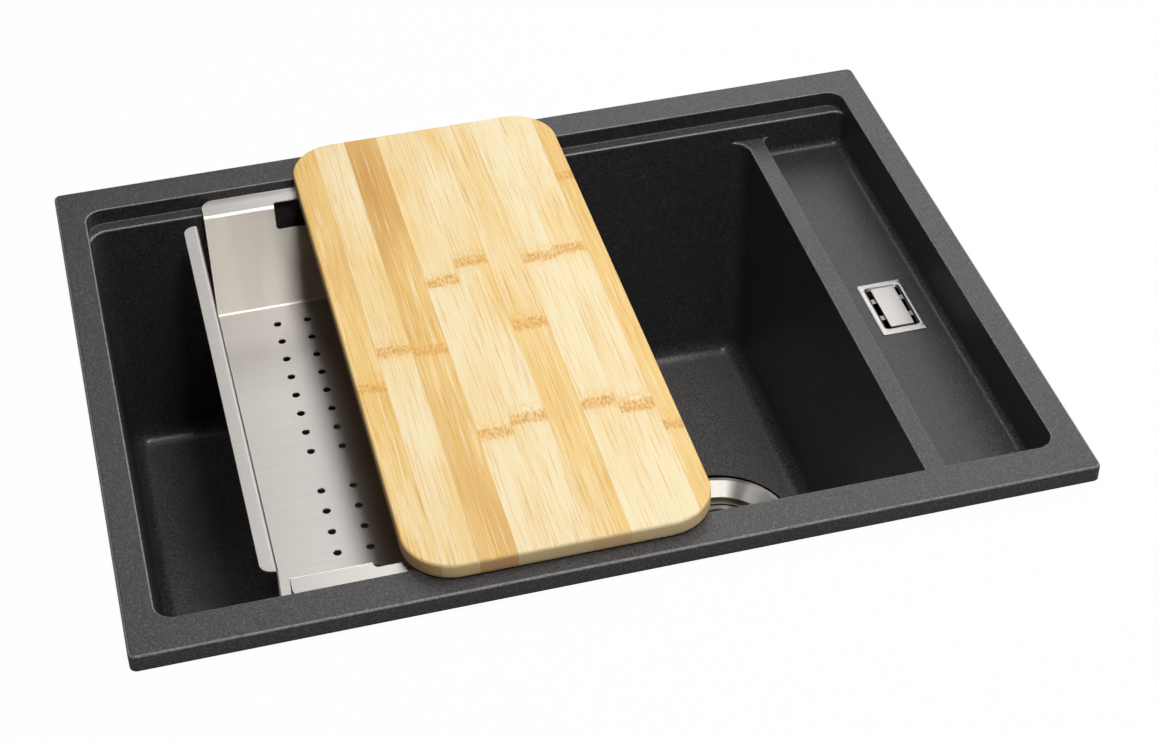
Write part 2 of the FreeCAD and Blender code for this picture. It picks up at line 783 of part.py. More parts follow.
def waste_screw_nut():
    foot = spider_z - nut_height
    corners = [Vec(x, y, foot) for x, y, angle in around(outlet_x, outlet_y, 6, nut_r)]
    nut = Part.Face(Part.makePolygon(corners + corners[:1])).extrude(Vec(0, 0, nut_height))
    return nut.cut(cylinder(centre_screw_r + thread_gap, outlet_x, outlet_y, foot, spider_z))


# ---- basket strainer --------------------------------------------------------------------
def basket_strainer():
    """Pressed basket with slots round its wall and holes in its floor."""
    t = basket_thickness
    outline = [(basket_rim_r, basket_rim_z), (basket_wall_r, basket_rim_z), (basket_bottom_r, basket_z + t)]
    outline += [(0, basket_z + t), (0, basket_z), (basket_bottom_r + t, basket_z)]
    outline += [(basket_wall_r + t, basket_rim_z - t), (basket_rim_r, basket_rim_z - t)]
    basket = turned(outline, outlet_x, outlet_y)
    middle = (basket_rim_z + basket_z) / 2
    slots = []
    for x, y, angle in around(outlet_x, outlet_y, basket_slots, 0):
        slot = box(basket_bottom_r / 2, basket_rim_r, -basket_slot_width / 2, basket_slot_width / 2,
                   middle - basket_slot_height / 2, middle + basket_slot_height / 2)
        slot.rotate(Vec(0, 0, 0), UP, angle)
        slot.translate(Vec(outlet_x, outlet_y, 0))
        slots.append(slot)
    for ring in range(basket_hole_rings):
        radius = basket_bottom_r * (ring + 1) / (basket_hole_rings + 1)
        for x, y, angle in around(outlet_x, outlet_y, basket_ring_holes * (ring + 1), radius):
            slots.append(cylinder(basket_hole_r, x, y, basket_z - past, basket_z + t + past))
    slots.append(cylinder(knob_rivet_r, outlet_x, outlet_y, basket_z - past, basket_z + t + past))
    return basket.cut(Part.makeCompound(slots))


def basket_seal():
    return tube(basket_seal_r, basket_seal_bore_r, outlet_x, outlet_y, cup_z + basket_seal_gap, basket_z)


def basket_knob():
    """Knob whose stem is riveted through the basket's floor."""
    foot = basket_z + basket_thickness
    neck = foot + knob_stem_length
    top = neck + knob_height
    stem = cylinder(knob_stem_r, outlet_x, outlet_y, foot, neck)
    rivet = cylinder(knob_rivet_r, outlet_x, outlet_y, basket_z, foot)
    knob = cylinder(knob_r, outlet_x, outlet_y, neck, top)
    knob = knob.makeFillet(knob_height / 3, level_edges(knob, top))
    return fused([stem, rivet, knob])


# ---- bamboo board -----------------------------------------------------------------------
def cutting_board():
    foot = rim_top + board_rest_gap
    top = foot + board_thickness
    board = centred_block(board_x, board_y, board_width, board_length, foot, top, board_corner_r)
    return board.makeFillet(board_edge_r, level_edges(board, foot) + level_edges(board, top))


# ---- colander tray ----------------------------------------------------------------------
def tray_fold(half_span, flange, width, along_x):
    """Floor, two walls and two flanges folded from one strip."""
    half = sheet / 2
    wall_u = half_span - half
    edge_u = half_span + flange
    high = tray_top - half
    low = tray_z + half
    path = [(-edge_u, high), (-wall_u, high), (-wall_u, low), (wall_u, low), (wall_u, high), (edge_u, high)]
    return bent_strip(path, sheet, bend_r, width, along_x)


def round_flange_corners(tray, test, radius):
    """Round the upright edges of the flanges' outer corners."""
    return tray.makeFillet(radius, upright_edges(tray, test))


def hand_hole(side):
    """Opening through an end wall and into its flange."""
    half = hand_hole_width / 2
    low = tray_top - hand_hole_depth
    wall_y = tray_length / 2
    reach = sheet + bend_r + past
    inner, outer = sorted((side * (wall_y - reach), side * (wall_y + sheet)))
    window = box(-half, half, inner, outer, low, tray_top + past)
    across = [edge for edge in level_edges(window, low) if abs(edge.CenterOfMass.x) > half - past]
    window = window.makeFillet(hand_hole_r, across)
    inner, outer = sorted((side * (wall_y - reach), side * (wall_y + hand_hole_notch)))
    notch = box(-half, half, inner, outer, tray_top - reach, tray_top + past)
    notch = notch.makeFillet(hand_hole_r, upright_edges(notch, lambda middle: abs(middle.y) > wall_y))
    return window.fuse(notch)


def colander_tray():
    end_y = tray_length / 2 + end_flange
    side_x = tray_width / 2 + side_flange
    ends = tray_fold(tray_length / 2, end_flange, end_wall_width, True)
    ends = round_flange_corners(ends, lambda middle: abs(abs(middle.y) - end_y) < sheet, end_flange_r)
    sides = tray_fold(tray_width / 2, side_flange, side_wall_length, False)
    sides = round_flange_corners(sides, lambda middle: abs(abs(middle.x) - side_x) < sheet, side_flange_r)
    tray = ends.fuse(sides).cut(hand_hole(-1)).cut(hand_hole(1))
    holes = []
    for column in range(drain_hole_columns):
        x = (column - (drain_hole_columns - 1) / 2) * drain_hole_pitch_x
        for step in range(1, drain_holes_half_row + 1):
            for y in (-step * drain_hole_pitch_y, step * drain_hole_pitch_y):
                holes.append(cylinder(drain_hole_r, x, y, tray_z - past, tray_z + sheet + past))
    tray = tray.cut(Part.makeCompound(holes)).removeSplitter()
    tray.translate(Vec(tray_x, 0, 0))
    return tray


def tray_glide(side):
    """Plastic strip under an end flange, which slides on the ledge."""
    length = end_wall_width - 2 * glide_end_inset
    y = side * (opening_y - ledge_width / 2)
    foot = ledge_z + glide_gap
    return centred_block(tray_x, y, length, glide_width, foot, tray_top - sheet, glide_width / 3)


# ---- the sub-parts ----------------------------------------------------------------------
os.makedirs("parts", exist_ok=True)

save("sink_basin", sink_basin())
save("rim_seal_strip", rim_seal_strip())
save("clamp_inserts", *[clamp_insert(x, y) for name, x, y, side in clamp_places()])
save("clamp_screws", *[clamp_screw(x, y) for name, x, y, side in clamp_places()])
for name, x, y, side in clamp_places():
    save("clamp_claw_" + name, clamp_claw(x, y))

save("overflow_frame", overflow_frame())
save("overflow_plate", overflow_plate())
clip_rows = (outlet_y - clip_spacing / 2, outlet_y + clip_spacing / 2)
save("overflow_plate_clips", *[overflow_plate_clip(y) for y in clip_rows])
save("overflow_screws", *[overflow_screw(y) for y in overflow_screw_rows()])
save("overflow_gasket", overflow_gasket())
save("overflow_housing", overflow_housing())
save("overflow_hose", overflow_hose())

clip_from_end = hose_clip_offset + hose_clip_width / 2
upper_clip = hose_clip("z")
upper_clip.translate(Vec(overflow_x, outlet_y, hose_top_z - clip_from_end))
save("hose_clip_upper", upper_clip)
lower_clip = hose_clip("x")
lower_clip.translate(Vec(hose_end_x + clip_from_end, outlet_y, inlet_z))
save("hose_clip_lower", lower_clip)

save("waste_flange", waste_flange())
save("waste_flange_gasket", waste_flange_gasket())
save("waste_lower_gasket", waste_lower_gasket())
save("waste_body", waste_body())
save("waste_tailpiece", waste_tailpiece())
save("waste_centre_screw", waste_centre_screw())
save("waste_screw_nut", waste_screw_nut())
save("basket_strainer", basket_strainer())
save("basket_seal", basket_seal())
save("basket_knob", basket_knob())

save("cutting_board", cutting_board())
save("colander_tray", colander_tray())
save("tray_glide_front", tray_glide(-1))
save("tray_glide_back", tray_glide(1))
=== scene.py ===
import json
import math

import bpy
import bmesh
from mathutils import Matrix, Vector

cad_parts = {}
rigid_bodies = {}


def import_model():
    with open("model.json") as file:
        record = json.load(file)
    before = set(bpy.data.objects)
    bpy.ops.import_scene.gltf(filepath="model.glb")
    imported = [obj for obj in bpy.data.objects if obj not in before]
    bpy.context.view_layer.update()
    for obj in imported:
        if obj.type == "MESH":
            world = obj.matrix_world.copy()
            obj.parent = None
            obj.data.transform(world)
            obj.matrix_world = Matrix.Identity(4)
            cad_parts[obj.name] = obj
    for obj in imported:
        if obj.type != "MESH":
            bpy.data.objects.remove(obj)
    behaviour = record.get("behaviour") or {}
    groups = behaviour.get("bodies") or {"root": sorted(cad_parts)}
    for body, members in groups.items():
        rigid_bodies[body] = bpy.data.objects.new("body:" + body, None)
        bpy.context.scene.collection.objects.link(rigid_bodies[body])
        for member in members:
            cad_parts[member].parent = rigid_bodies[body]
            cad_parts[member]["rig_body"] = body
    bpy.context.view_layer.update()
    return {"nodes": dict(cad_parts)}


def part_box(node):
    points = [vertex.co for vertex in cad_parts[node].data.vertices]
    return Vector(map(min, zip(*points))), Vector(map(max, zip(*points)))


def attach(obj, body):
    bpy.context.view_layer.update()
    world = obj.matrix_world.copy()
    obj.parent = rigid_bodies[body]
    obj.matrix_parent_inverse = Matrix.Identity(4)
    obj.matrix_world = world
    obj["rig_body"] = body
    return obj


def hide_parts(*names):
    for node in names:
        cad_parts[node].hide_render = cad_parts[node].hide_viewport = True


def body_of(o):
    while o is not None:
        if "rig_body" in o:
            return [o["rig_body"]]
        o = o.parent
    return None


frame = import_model()
nodes = frame["nodes"]


# ---- basin -------------------------------------------------------------------------------
# One casting of quartz sand in acrylic resin, as it leaves the mould: satin, nearly black in
# the bowl, with fine pale grains that show where the light rakes the rim.

def new_group(name, inputs, outputs):
    """Empty shader node group; inputs are (name, kind, value), outputs (name, kind)."""
    group = bpy.data.node_groups.new(name, "ShaderNodeTree")
    for label, kind, value in inputs:
        socket = group.interface.new_socket(label, in_out="INPUT", socket_type=kind)
        socket.default_value = value
    for label, kind in outputs:
        group.interface.new_socket(label, in_out="OUTPUT", socket_type=kind)
    start = group.nodes.new("NodeGroupInput")
    end = group.nodes.new("NodeGroupOutput")
    return group, start, end


def node(tree, kind, links=None, **values):
    """Adds a shader node; values set its properties, links fill its inputs by name or number."""
    made = tree.nodes.new(kind)
    for key, value in values.items():
        setattr(made, key, value)
    for key, value in (links or {}).items():
        socket = made.inputs[key]
        if isinstance(value, bpy.types.NodeSocket):
            tree.links.new(value, socket)
        else:
            socket.default_value = value
    return made


def math_node(tree, operation, first, second=0.0, third=0.0):
    """One maths step; its output socket."""
    return node(tree, "ShaderNodeMath", {0: first, 1: second, 2: third},
                operation=operation).outputs[0]


def plus(tree, first, second):
    return math_node(tree, "ADD", first, second)


def minus(tree, first, second):
    return math_node(tree, "SUBTRACT", first, second)


def times(tree, first, second):
    return math_node(tree, "MULTIPLY", first, second)


def larger(tree, first, second):
    return math_node(tree, "MAXIMUM", first, second)


def ramp_node(tree, value, low, high, low_out=0.0, high_out=1.0):
    """A value eased from low_out to high_out between low and high."""
    step = node(tree, "ShaderNodeMapRange", {0: value, 1: low, 2: high, 3: low_out, 4: high_out},
                interpolation_type="SMOOTHSTEP")
    return step.outputs[0]


def falling(tree, value, low, high):
    """1 below low, 0 above high, eased between them."""
    return ramp_node(tree, value, low, high, 1.0, 0.0)


def mix_colour(tree, factor, first, second, blend="MIX"):
    """Two colours mixed; its output socket."""
    mixed = node(tree, "ShaderNodeMix", {0: factor, 6: first, 7: second}, data_type="RGBA",
                 blend_type=blend)
    return mixed.outputs[2]


def object_coordinates(tree):
    return node(tree, "ShaderNodeTexCoord").outputs["Object"]


def own_normal(tree):
    return node(tree, "ShaderNodeTexCoord").outputs["Normal"]


def axes(tree, vector):
    """The three parts of a vector."""
    return node(tree, "ShaderNodeSeparateXYZ", {0: vector}).outputs


def vector_node(tree, operation, first, second=(0.0, 0.0, 0.0)):
    return node(tree, "ShaderNodeVectorMath", {0: first, 1: second}, operation=operation).outputs[0]


def length_of(tree, vector):
    return node(tree, "ShaderNodeVectorMath", {0: vector}, operation="LENGTH").outputs["Value"]


def stretched(tree, vector, scale):
    """The vector scaled along each axis."""
    return node(tree, "ShaderNodeMapping", {0: vector, 3: scale}).outputs[0]


def noise(tree, vector, scale, detail=2.0, roughness=0.5):
    made = node(tree, "ShaderNodeTexNoise", {"Vector": vector, "Scale": scale, "Detail": detail,
                                             "Roughness": roughness})
    return made.outputs[0]


def material(name, colour, roughness, metallic=0.0, specular=0.5):
    """Principled material with plain settings; returns it, its tree and its shader."""
    made = bpy.data.materials.new(name)
    made.use_nodes = True
    tree = made.node_tree
    shader = tree.nodes["Principled BSDF"]
    shader.inputs["Base Color"].default_value = (*colour, 1.0)
    shader.inputs["Roughness"].default_value = roughness
    shader.inputs["Metallic"].default_value = metallic
    shader.inputs["Specular IOR Level"].default_value = specular
    return made, tree, shader


def feed(tree, shader, socket, value):
    tree.links.new(value, shader.inputs[socket])


def bump(tree, shader, height, strength, distance):
    made = node(tree, "ShaderNodeBump", {"Height": height, "Strength": strength,
                                         "Distance": distance})
    feed(tree, shader, "Normal", made.outputs[0])


def finish_node(name, made):
    """Gives a CAD node its material."""
    nodes[name].data.materials.clear()
    nodes[name].data.materials.append(made)


composite, tree, shader = material("composite_granite", (0.06, 0.056, 0.058), 0.42, specular=0.42)
where = object_coordinates(tree)
grains = node(tree, "ShaderNodeTexVoronoi", {"Vector": where, "Scale": 1200.0}, feature="F1")
fine = node(tree, "ShaderNodeTexVoronoi", {"Vector": where, "Scale": 2500.0}, feature="F1")
mottle = noise(tree, where, 700.0, 3.0, 0.7)
depth = ramp_node(tree, mottle, 0.36, 0.66)
shade = mix_colour(tree, depth, (0.028, 0.0262, 0.0274, 1), (0.064, 0.06, 0.0626, 1))
pale = ramp_node(tree, grains.outputs["Color"], 0.7, 1.0)
paler = ramp_node(tree, fine.outputs["Color"], 0.84, 1.0)
flecks = larger(tree, times(tree, pale, 0.55), paler)
shade = mix_colour(tree, times(tree, flecks, 0.7), shade, (0.28, 0.268, 0.266, 1))

# painted highlight: the rounded edges of the rim, the ledges and the divider are painted paler,
# standing in for the light they catch
height = axes(tree, where)[2]
tilt = axes(tree, own_normal(tree))[2]
rim_edge_heights = (0.009, 0.0105)
ledge_top, divider_top, edge_drop = -0.0005, -0.0145, 0.0008
edges = ramp_node(tree, height, *rim_edge_heights)
for level in (ledge_top, divider_top):
    off = math_node(tree, "ABSOLUTE", minus(tree, height, level - edge_drop))
    edges = larger(tree, edges, falling(tree, off, 0.0006, 0.001))
painted_edge_highlight = times(tree, ramp_node(tree, tilt, 0.4, 0.65), falling(tree, tilt, 0.9, 0.985))
painted_edge_highlight = times(tree, painted_edge_highlight, edges)
painted_edge_highlight = times(tree, painted_edge_highlight, ramp_node(tree, mottle, 0.38, 0.6, 0.55, 1.0))
shade = mix_colour(tree, times(tree, painted_edge_highlight, 0.85), shade, (0.28, 0.27, 0.272, 1))
# painted light: the bowl's floor is painted a little paler, in patches, for the light that falls on
# it
bowl_floor_heights = (-0.22, -0.2)
painted_floor_light = times(tree, falling(tree, height, *bowl_floor_heights), ramp_node(tree, tilt, 0.8, 0.98))
patchy = ramp_node(tree, mottle, 0.38, 0.62, 0.12, 0.7)
shade = mix_colour(tree, times(tree, painted_floor_light, patchy), shade, (0.17, 0.162, 0.156, 1))
# painted shade: the channel's floor is painted darker, for the shade its walls cast on it
channel_floor_feet, channel_floor_tops = (-0.036, -0.034), (-0.029, -0.0275)
painted_channel_shade = times(tree, falling(tree, height, *channel_floor_tops),
             ramp_node(tree, height, *channel_floor_feet))
painted_channel_shade = times(tree, painted_channel_shade, ramp_node(tree, tilt, 0.9, 0.99))
shade = mix_colour(tree, painted_channel_shade, shade, (0.62, 0.62, 0.63, 1), "MULTIPLY")
# painted shade: the gap in the recess round the waste flange is painted near black
waste_centre = (0.141, -0.004)
from_waste = vector_node(tree, "SUBTRACT", where, (*waste_centre, 0.0))
across_waste = vector_node(tree, "MULTIPLY", from_waste, (1.0, 1.0, 0.0))
waste_radius = length_of(tree, across_waste)
gap_shade_radii, gap_shade_heights = (0.0586, 0.059), (-0.237, -0.2355)
painted_gap_shade = times(tree, falling(tree, waste_radius, *gap_shade_radii),
               ramp_node(tree, height, *gap_shade_heights))
shade = mix_colour(tree, painted_gap_shade, shade, (0.004, 0.004, 0.004, 1))
feed(tree, shader, "Base Color", shade)
# the coves between walls and floors are glossier, so that they catch a soft highlight
cove = times(tree, ramp_node(tree, tilt, 0.15, 0.35), falling(tree, tilt, 0.93, 0.985))
cove_heights, cove_gloss = (0.006, 0.008), 0.12
cove = times(tree, cove, falling(tree, height, *cove_heights))
gloss = times(tree, cove, cove_gloss)
matt = ramp_node(tree, grains.outputs["Color"], 0.1, 0.9, 0.33, 0.53)
feed(tree, shader, "Roughness", minus(tree, matt, gloss))
relief = plus(tree, times(tree, grains.outputs["Distance"], 0.6), mottle)
bump(tree, shader, relief, 0.65, 0.00013)
finish_node("sink_basin", composite)


# ---- seal and worktop clamps -------------------------------------------------------------
# A foam strip under the rim, and six zinc-plated claws. Each claw turns on a slotted screw
# in a plastic insert pressed into the casting.

def mottle_group():
    """The fine grain of a surface and the slower clouds over it."""
    group, start, end = new_group("surface_mottle", [("Fineness", "NodeSocketFloat", 900.0)],
                                  [("Fine", "NodeSocketFloat"), ("Slow", "NodeSocketFloat")])
    where = object_coordinates(group)
    slower = times(group, start.outputs["Fineness"], 0.07)
    group.links.new(noise(group, where, start.outputs["Fineness"], 3.0, 0.6), end.inputs["Fine"])
    group.links.new(noise(group, where, slower, 4.0, 0.6), end.inputs["Slow"])
    return group


surface_mottle = mottle_group()


def mottled(name, dark, pale, smooth, rough, fineness, relief=0.00003, metallic=0.0):
    """Material whose colour and roughness drift between two values, with a fine relief."""
    made, tree, shader = material(name, pale, rough, metallic)
    grain = node(tree, "ShaderNodeGroup", {"Fineness": fineness}, node_tree=surface_mottle)
    both = plus(tree, grain.outputs["Fine"], grain.outputs["Slow"])
    shade = mix_colour(tree, ramp_node(tree, both, 0.75, 1.25), (*dark, 1), (*pale, 1))
    feed(tree, shader, "Base Color", shade)
    feed(tree, shader, "Roughness", ramp_node(tree, grain.outputs["Slow"], 0.35, 0.65, smooth,
                                              rough))
    bump(tree, shader, grain.outputs["Fine"], 0.5, relief)
    return made


seal_foam = mottled("seal_foam", (0.012, 0.012, 0.012), (0.075, 0.075, 0.078), 0.8, 0.95, 1400.0,
                    0.0003)
black_plastic = mottled("black_plastic", (0.014, 0.014, 0.015), (0.028, 0.028, 0.03), 0.4, 0.55,
                        2600.0)
zinc_plate = mottled("zinc_plate", (0.4, 0.415, 0.44), (0.66, 0.675, 0.69), 0.24, 0.42, 700.0,
                     0.00001, 1.0)
finish_node("rim_seal_strip", seal_foam)


def new_geometry_group(name, inputs):
    """Empty geometry tree that takes a shape and gives one; inputs are (name, kind, value)."""
    group = bpy.data.node_groups.new(name, "GeometryNodeTree")
    group.interface.new_socket("Geometry", in_out="INPUT", socket_type="NodeSocketGeometry")
    group.interface.new_socket("Geometry", in_out="OUTPUT", socket_type="NodeSocketGeometry")
    for label, kind, value in inputs:
        socket = group.interface.new_socket(label, in_out="INPUT", socket_type=kind)
        if value is not None:
            socket.default_value = value
    given = group.nodes.new("NodeGroupInput").outputs
    result = group.nodes.new("NodeGroupOutput").inputs
    return group, given, result


tube_inputs = [("Outer Radius", "NodeSocketFloat", 0.005), ("Bore Radius", "NodeSocketFloat", 0.0),
               ("Ridge Depth", "NodeSocketFloat", 0.0005),
               ("Ridge Pitch", "NodeSocketFloat", 0.001),
               ("Turn", "NodeSocketFloat", 1.0), ("Plain Ends", "NodeSocketFloat", 0.0),
               ("Sides", "NodeSocketInt", 24), ("Rows", "NodeSocketInt", 60)]


def ridged_tube_group():
    """Closed tube along a curve, ringed outside with ribs or, where Turn is 1, with a thread."""
    group, given, result = new_geometry_group("ridged_tube", tube_inputs)
    curve = given["Geometry"]
    rows = given["Rows"]
    loop = times(group, rows, 2.0)
    grid = node(group, "GeometryNodeMeshGrid", {
        "Size X": 1.0, "Size Y": 1.0, "Vertices X": plus(group, given["Sides"], 1.0),
        "Vertices Y": plus(group, loop, 1.0)})
    flat = axes(group, node(group, "GeometryNodeInputPosition").outputs[0])
    angle = times(group, plus(group, flat[0], 0.5), math.tau)
    step = math_node(group, "ROUND", times(group, plus(group, flat[1], 0.5), loop))
    # rows go out along the outside and back along the bore, and the last one closes the first end
    last = minus(group, rows, 1.0)
    outward = math_node(group, "DIVIDE", step, last)
    back = minus(group, minus(group, loop, 1.0), step)
    share = math_node(group, "MINIMUM", outward, math_node(group, "DIVIDE", back, last))
    share = larger(group, share, 0.0)
    inside = times(group, math_node(group, "GREATER_THAN", step, minus(group, rows, 0.5)),
                   math_node(group, "LESS_THAN", step, minus(group, loop, 0.5)))
    length = node(group, "GeometryNodeCurveLength", {"Curve": curve}).outputs[0]
    travelled = times(group, share, length)
    path = node(group, "GeometryNodeSampleCurve", {"Curves": curve, "Factor": share},
                mode="FACTOR").outputs
    across = vector_node(group, "CROSS_PRODUCT", path["Tangent"], path["Normal"])
    turns = times(group, given["Turn"], angle)
    phase = math_node(group, "DIVIDE", travelled, given["Ridge Pitch"])
    wave = math_node(group, "COSINE", minus(group, times(group, phase, math.tau),
                                            turns))
    hollow = math_node(group, "MULTIPLY_ADD", wave, -0.5, 0.5)
    plain = given["Plain Ends"]
    past_plain = plus(group, plain, given["Ridge Pitch"])
    ends = times(group, ramp_node(group, travelled, plain, past_plain),
                 ramp_node(group, minus(group, length, travelled), plain, past_plain))
    cut = times(group, times(group, hollow, ends), given["Ridge Depth"])
    outer = minus(group, given["Outer Radius"], cut)
    wall = minus(group, given["Bore Radius"], outer)
    radius = math_node(group, "MULTIPLY_ADD", wall, inside, outer)
    legs = []
    for direction, operation in ((path["Normal"], "COSINE"), (across, "SINE")):
        reach = times(group, math_node(group, operation, angle), radius)
        legs.append(node(group, "ShaderNodeVectorMath", {0: direction, "Scale": reach},
                         operation="SCALE").outputs[0])
    place = vector_node(group, "ADD", path["Position"], vector_node(group, "ADD", *legs))
    bent = node(group, "GeometryNodeSetPosition",
                {"Geometry": grid.outputs["Mesh"], "Position": place})
    closed = node(group, "GeometryNodeMergeByDistance",
                  {"Geometry": bent.outputs[0], "Distance": 0.000001})
    group.links.new(closed.outputs[0], result["Geometry"])
    return group


ridged_tube = ridged_tube_group()


def finish_tree(group, shape, given, result):
    """Ends a tree: instances become real, and the material goes on."""
    real = node(group, "GeometryNodeRealizeInstances", {"Geometry": shape})
    painted = node(group, "GeometryNodeSetMaterial",
                   {"Geometry": real.outputs[0], "Material": given["Material"]})
    group.links.new(painted.outputs[0], result["Geometry"])
    return group


def slotted_screws_group():
    """Threaded screw with a slotted cheese head at every point, which its head stands on."""
    group, given, result = new_geometry_group("slotted_screws", [
        ("Shank Radius", "NodeSocketFloat", 0.0025), ("Thread Pitch", "NodeSocketFloat", 0.0012),
        ("Thread Depth", "NodeSocketFloat", 0.0004), ("Length", "NodeSocketFloat", 0.03),
        ("Head Radius", "NodeSocketFloat", 0.0045), ("Head Height", "NodeSocketFloat", 0.0035),
        ("Slot Width", "NodeSocketFloat", 0.0012), ("Tilt", "NodeSocketVector", (0.0, 0.0, 0.0)),
        ("Rows", "NodeSocketInt", 150), ("Material", "NodeSocketMaterial", None)])
    tip = node(group, "ShaderNodeCombineXYZ", {2: times(group, given["Length"], -1.0)})
    line = node(group, "GeometryNodeCurvePrimitiveLine", {"End": tip.outputs[0]})
    shank = node(group, "GeometryNodeGroup", {
        "Geometry": line.outputs[0], "Outer Radius": given["Shank Radius"], "Bore Radius": 0.0,
        "Ridge Depth": given["Thread Depth"], "Ridge Pitch": given["Thread Pitch"], "Turn": 1.0,
        "Plain Ends": 0.0, "Sides": 20, "Rows": given["Rows"]}, node_tree=ridged_tube)
    tall = given["Head Height"]
    head = node(group, "GeometryNodeMeshCylinder",
                {"Vertices": 40, "Radius": given["Head Radius"], "Depth": tall})
    half_up = node(group, "ShaderNodeCombineXYZ", {2: times(group, tall, 0.5)}).outputs[0]
    head = node(group, "GeometryNodeTransform",
                {"Geometry": head.outputs["Mesh"], "Translation": half_up})
    wide = times(group, given["Head Radius"], 3.0)
    size = node(group, "ShaderNodeCombineXYZ", {0: wide, 1: given["Slot Width"],
                                                2: tall}).outputs[0]
    slot = node(group, "GeometryNodeMeshCube", {"Size": size})
    full_up = node(group, "ShaderNodeCombineXYZ", {2: tall}).outputs[0]
    slot = node(group, "GeometryNodeTransform",
                {"Geometry": slot.outputs["Mesh"], "Translation": full_up})
    cut = node(group, "GeometryNodeMeshBoolean",
               {"Mesh 1": head.outputs[0], "Mesh 2": slot.outputs[0]},
               operation="DIFFERENCE", solver="EXACT")
    whole = node(group, "GeometryNodeJoinGeometry")
    group.links.new(cut.outputs[0], whole.inputs[0])
    group.links.new(shank.outputs[0], whole.inputs[0])
    copies = node(group, "GeometryNodeInstanceOnPoints", {
        "Points": given["Geometry"], "Instance": whole.outputs[0], "Rotation": given["Tilt"]})
    return finish_tree(group, copies.outputs[0], given, result)


slotted_screws = slotted_screws_group()


def smooth_closed(mesh, bevel=0.0):
    """Joins doubled points, breaks the sharp edges by bevel, and turns the faces outwards."""
    shell = bmesh.new()
    shell.from_mesh(mesh)
    bmesh.ops.remove_doubles(shell, verts=shell.verts, dist=0.000002)
    bmesh.ops.delete(shell, geom=[edge for edge in shell.edges if not edge.link_faces],
                     context="EDGES")
    bmesh.ops.recalc_face_normals(shell, faces=shell.faces)
    if bevel:
        bmesh.ops.dissolve_limit(shell, angle_limit=math.radians(1.0), verts=shell.verts,
                                 edges=shell.edges)
        sharp = [edge for edge in shell.edges
                 if len(edge.link_faces) == 2 and edge.calc_face_angle() > math.radians(50)]
        bmesh.ops.bevel(shell, geom=sharp, offset=bevel, segments=2, profile=0.5, affect="EDGES",
                        clamp_overlap=True)
    for face in shell.faces:
        face.smooth = True
    shell.to_mesh(mesh)
    shell.free()
    mesh.set_sharp_from_angle(angle=math.radians(38))


def stand_for(name, mesh, made, bevel=0.0):
    """Puts a finer mesh in the place of the CAD node of that name."""
    smooth_closed(mesh, bevel)
    mesh.materials.clear()
    mesh.materials.append(made)
    piece = bpy.data.objects.new(name + "_fine", mesh)
    bpy.context.scene.collection.objects.link(piece)
    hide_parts(name)
    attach(piece, body_of(nodes[name])[0])


def rounded_node(name, made, bevel):
    """A CAD node's own shape with its sharp edges broken."""
    stand_for(name, nodes[name].data.copy(), made, bevel)


def grow(tree, points, links, values):
    """Runs a geometry tree on points, joined by links where they are a path; its plain mesh."""
    seed = bpy.data.meshes.new("seed")
    seed.from_pydata(points, links, [])
    holder = bpy.data.objects.new("seed", seed)
    bpy.context.scene.collection.objects.link(holder)
    modifier = holder.modifiers.new("tree", "NODES")
    modifier.node_group = tree
    for item in tree.interface.items_tree:
        if item.in_out == "INPUT" and item.name in values:
            modifier[item.identifier] = values[item.name]
    graph = bpy.context.evaluated_depsgraph_get()
    mesh = bpy.data.meshes.new_from_object(holder.evaluated_get(graph), depsgraph=graph)
    bpy.data.objects.remove(holder)
    return mesh


def screws(name, places, sizes, upside_down=False):
    """Threaded slotted screws in the place of a CAD node; sizes are named as in the tree."""
    low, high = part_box(name)
    foot = low.z + sizes["Head Height"] if upside_down else high.z - sizes["Head Height"]
    sizes["Length"] = high.z - foot if upside_down else foot - low.z
    sizes["Tilt"] = (math.pi if upside_down else 0.0, 0.0, 0.0)
    sizes["Material"] = zinc_plate
    stand_for(name, grow(slotted_screws, [(x, y, foot) for x, y in places], [], sizes), zinc_plate)


clamp_spacing, clamp_row = 0.19, 0.2275
clamp_places = [(x, y) for y in (-clamp_row, clamp_row)
                for x in (-clamp_spacing, 0.0, clamp_spacing)]
screws("clamp_screws", clamp_places, {
    "Shank Radius": 0.0025, "Thread Pitch": 0.0012, "Thread Depth": 0.00035, "Head Radius": 0.0045,
    "Head Height": 0.0035, "Slot Width": 0.0012, "Rows": 165}, upside_down=True)
rounded_node("clamp_inserts", black_plastic, 0.0002)
for row in ("front", "back"):
    for column in ("left", "mid", "right"):
        rounded_node(f"clamp_claw_{row}_{column}", zinc_plate, 0.0003)


# ---- overflow cover ----------------------------------------------------------------------
# Pressed stainless frame let into the channel's floor, with a plate that floats in it on two
# spring clips, so that water runs in all round.

def brushed_group():
    """Fine brush lines along one axis, and the soft clouds that rolling leaves in sheet steel."""
    group, start, end = new_group(
        "brush_lines",
        [("Stretch", "NodeSocketVector", (1.0, 1.0, 1.0)), ("Fineness", "NodeSocketFloat", 1500.0)],
        [("Lines", "NodeSocketFloat"), ("Cloud", "NodeSocketFloat")])
    where = object_coordinates(group)
    drawn = vector_node(group, "MULTIPLY", where, start.outputs["Stretch"])
    lines = noise(group, drawn, start.outputs["Fineness"], 4.0, 0.7)
    cloud = noise(group, where, 22.0, 4.0, 0.6)
    group.links.new(lines, end.inputs["Lines"])
    group.links.new(cloud, end.inputs["Cloud"])
    return group


brush_lines = brushed_group()


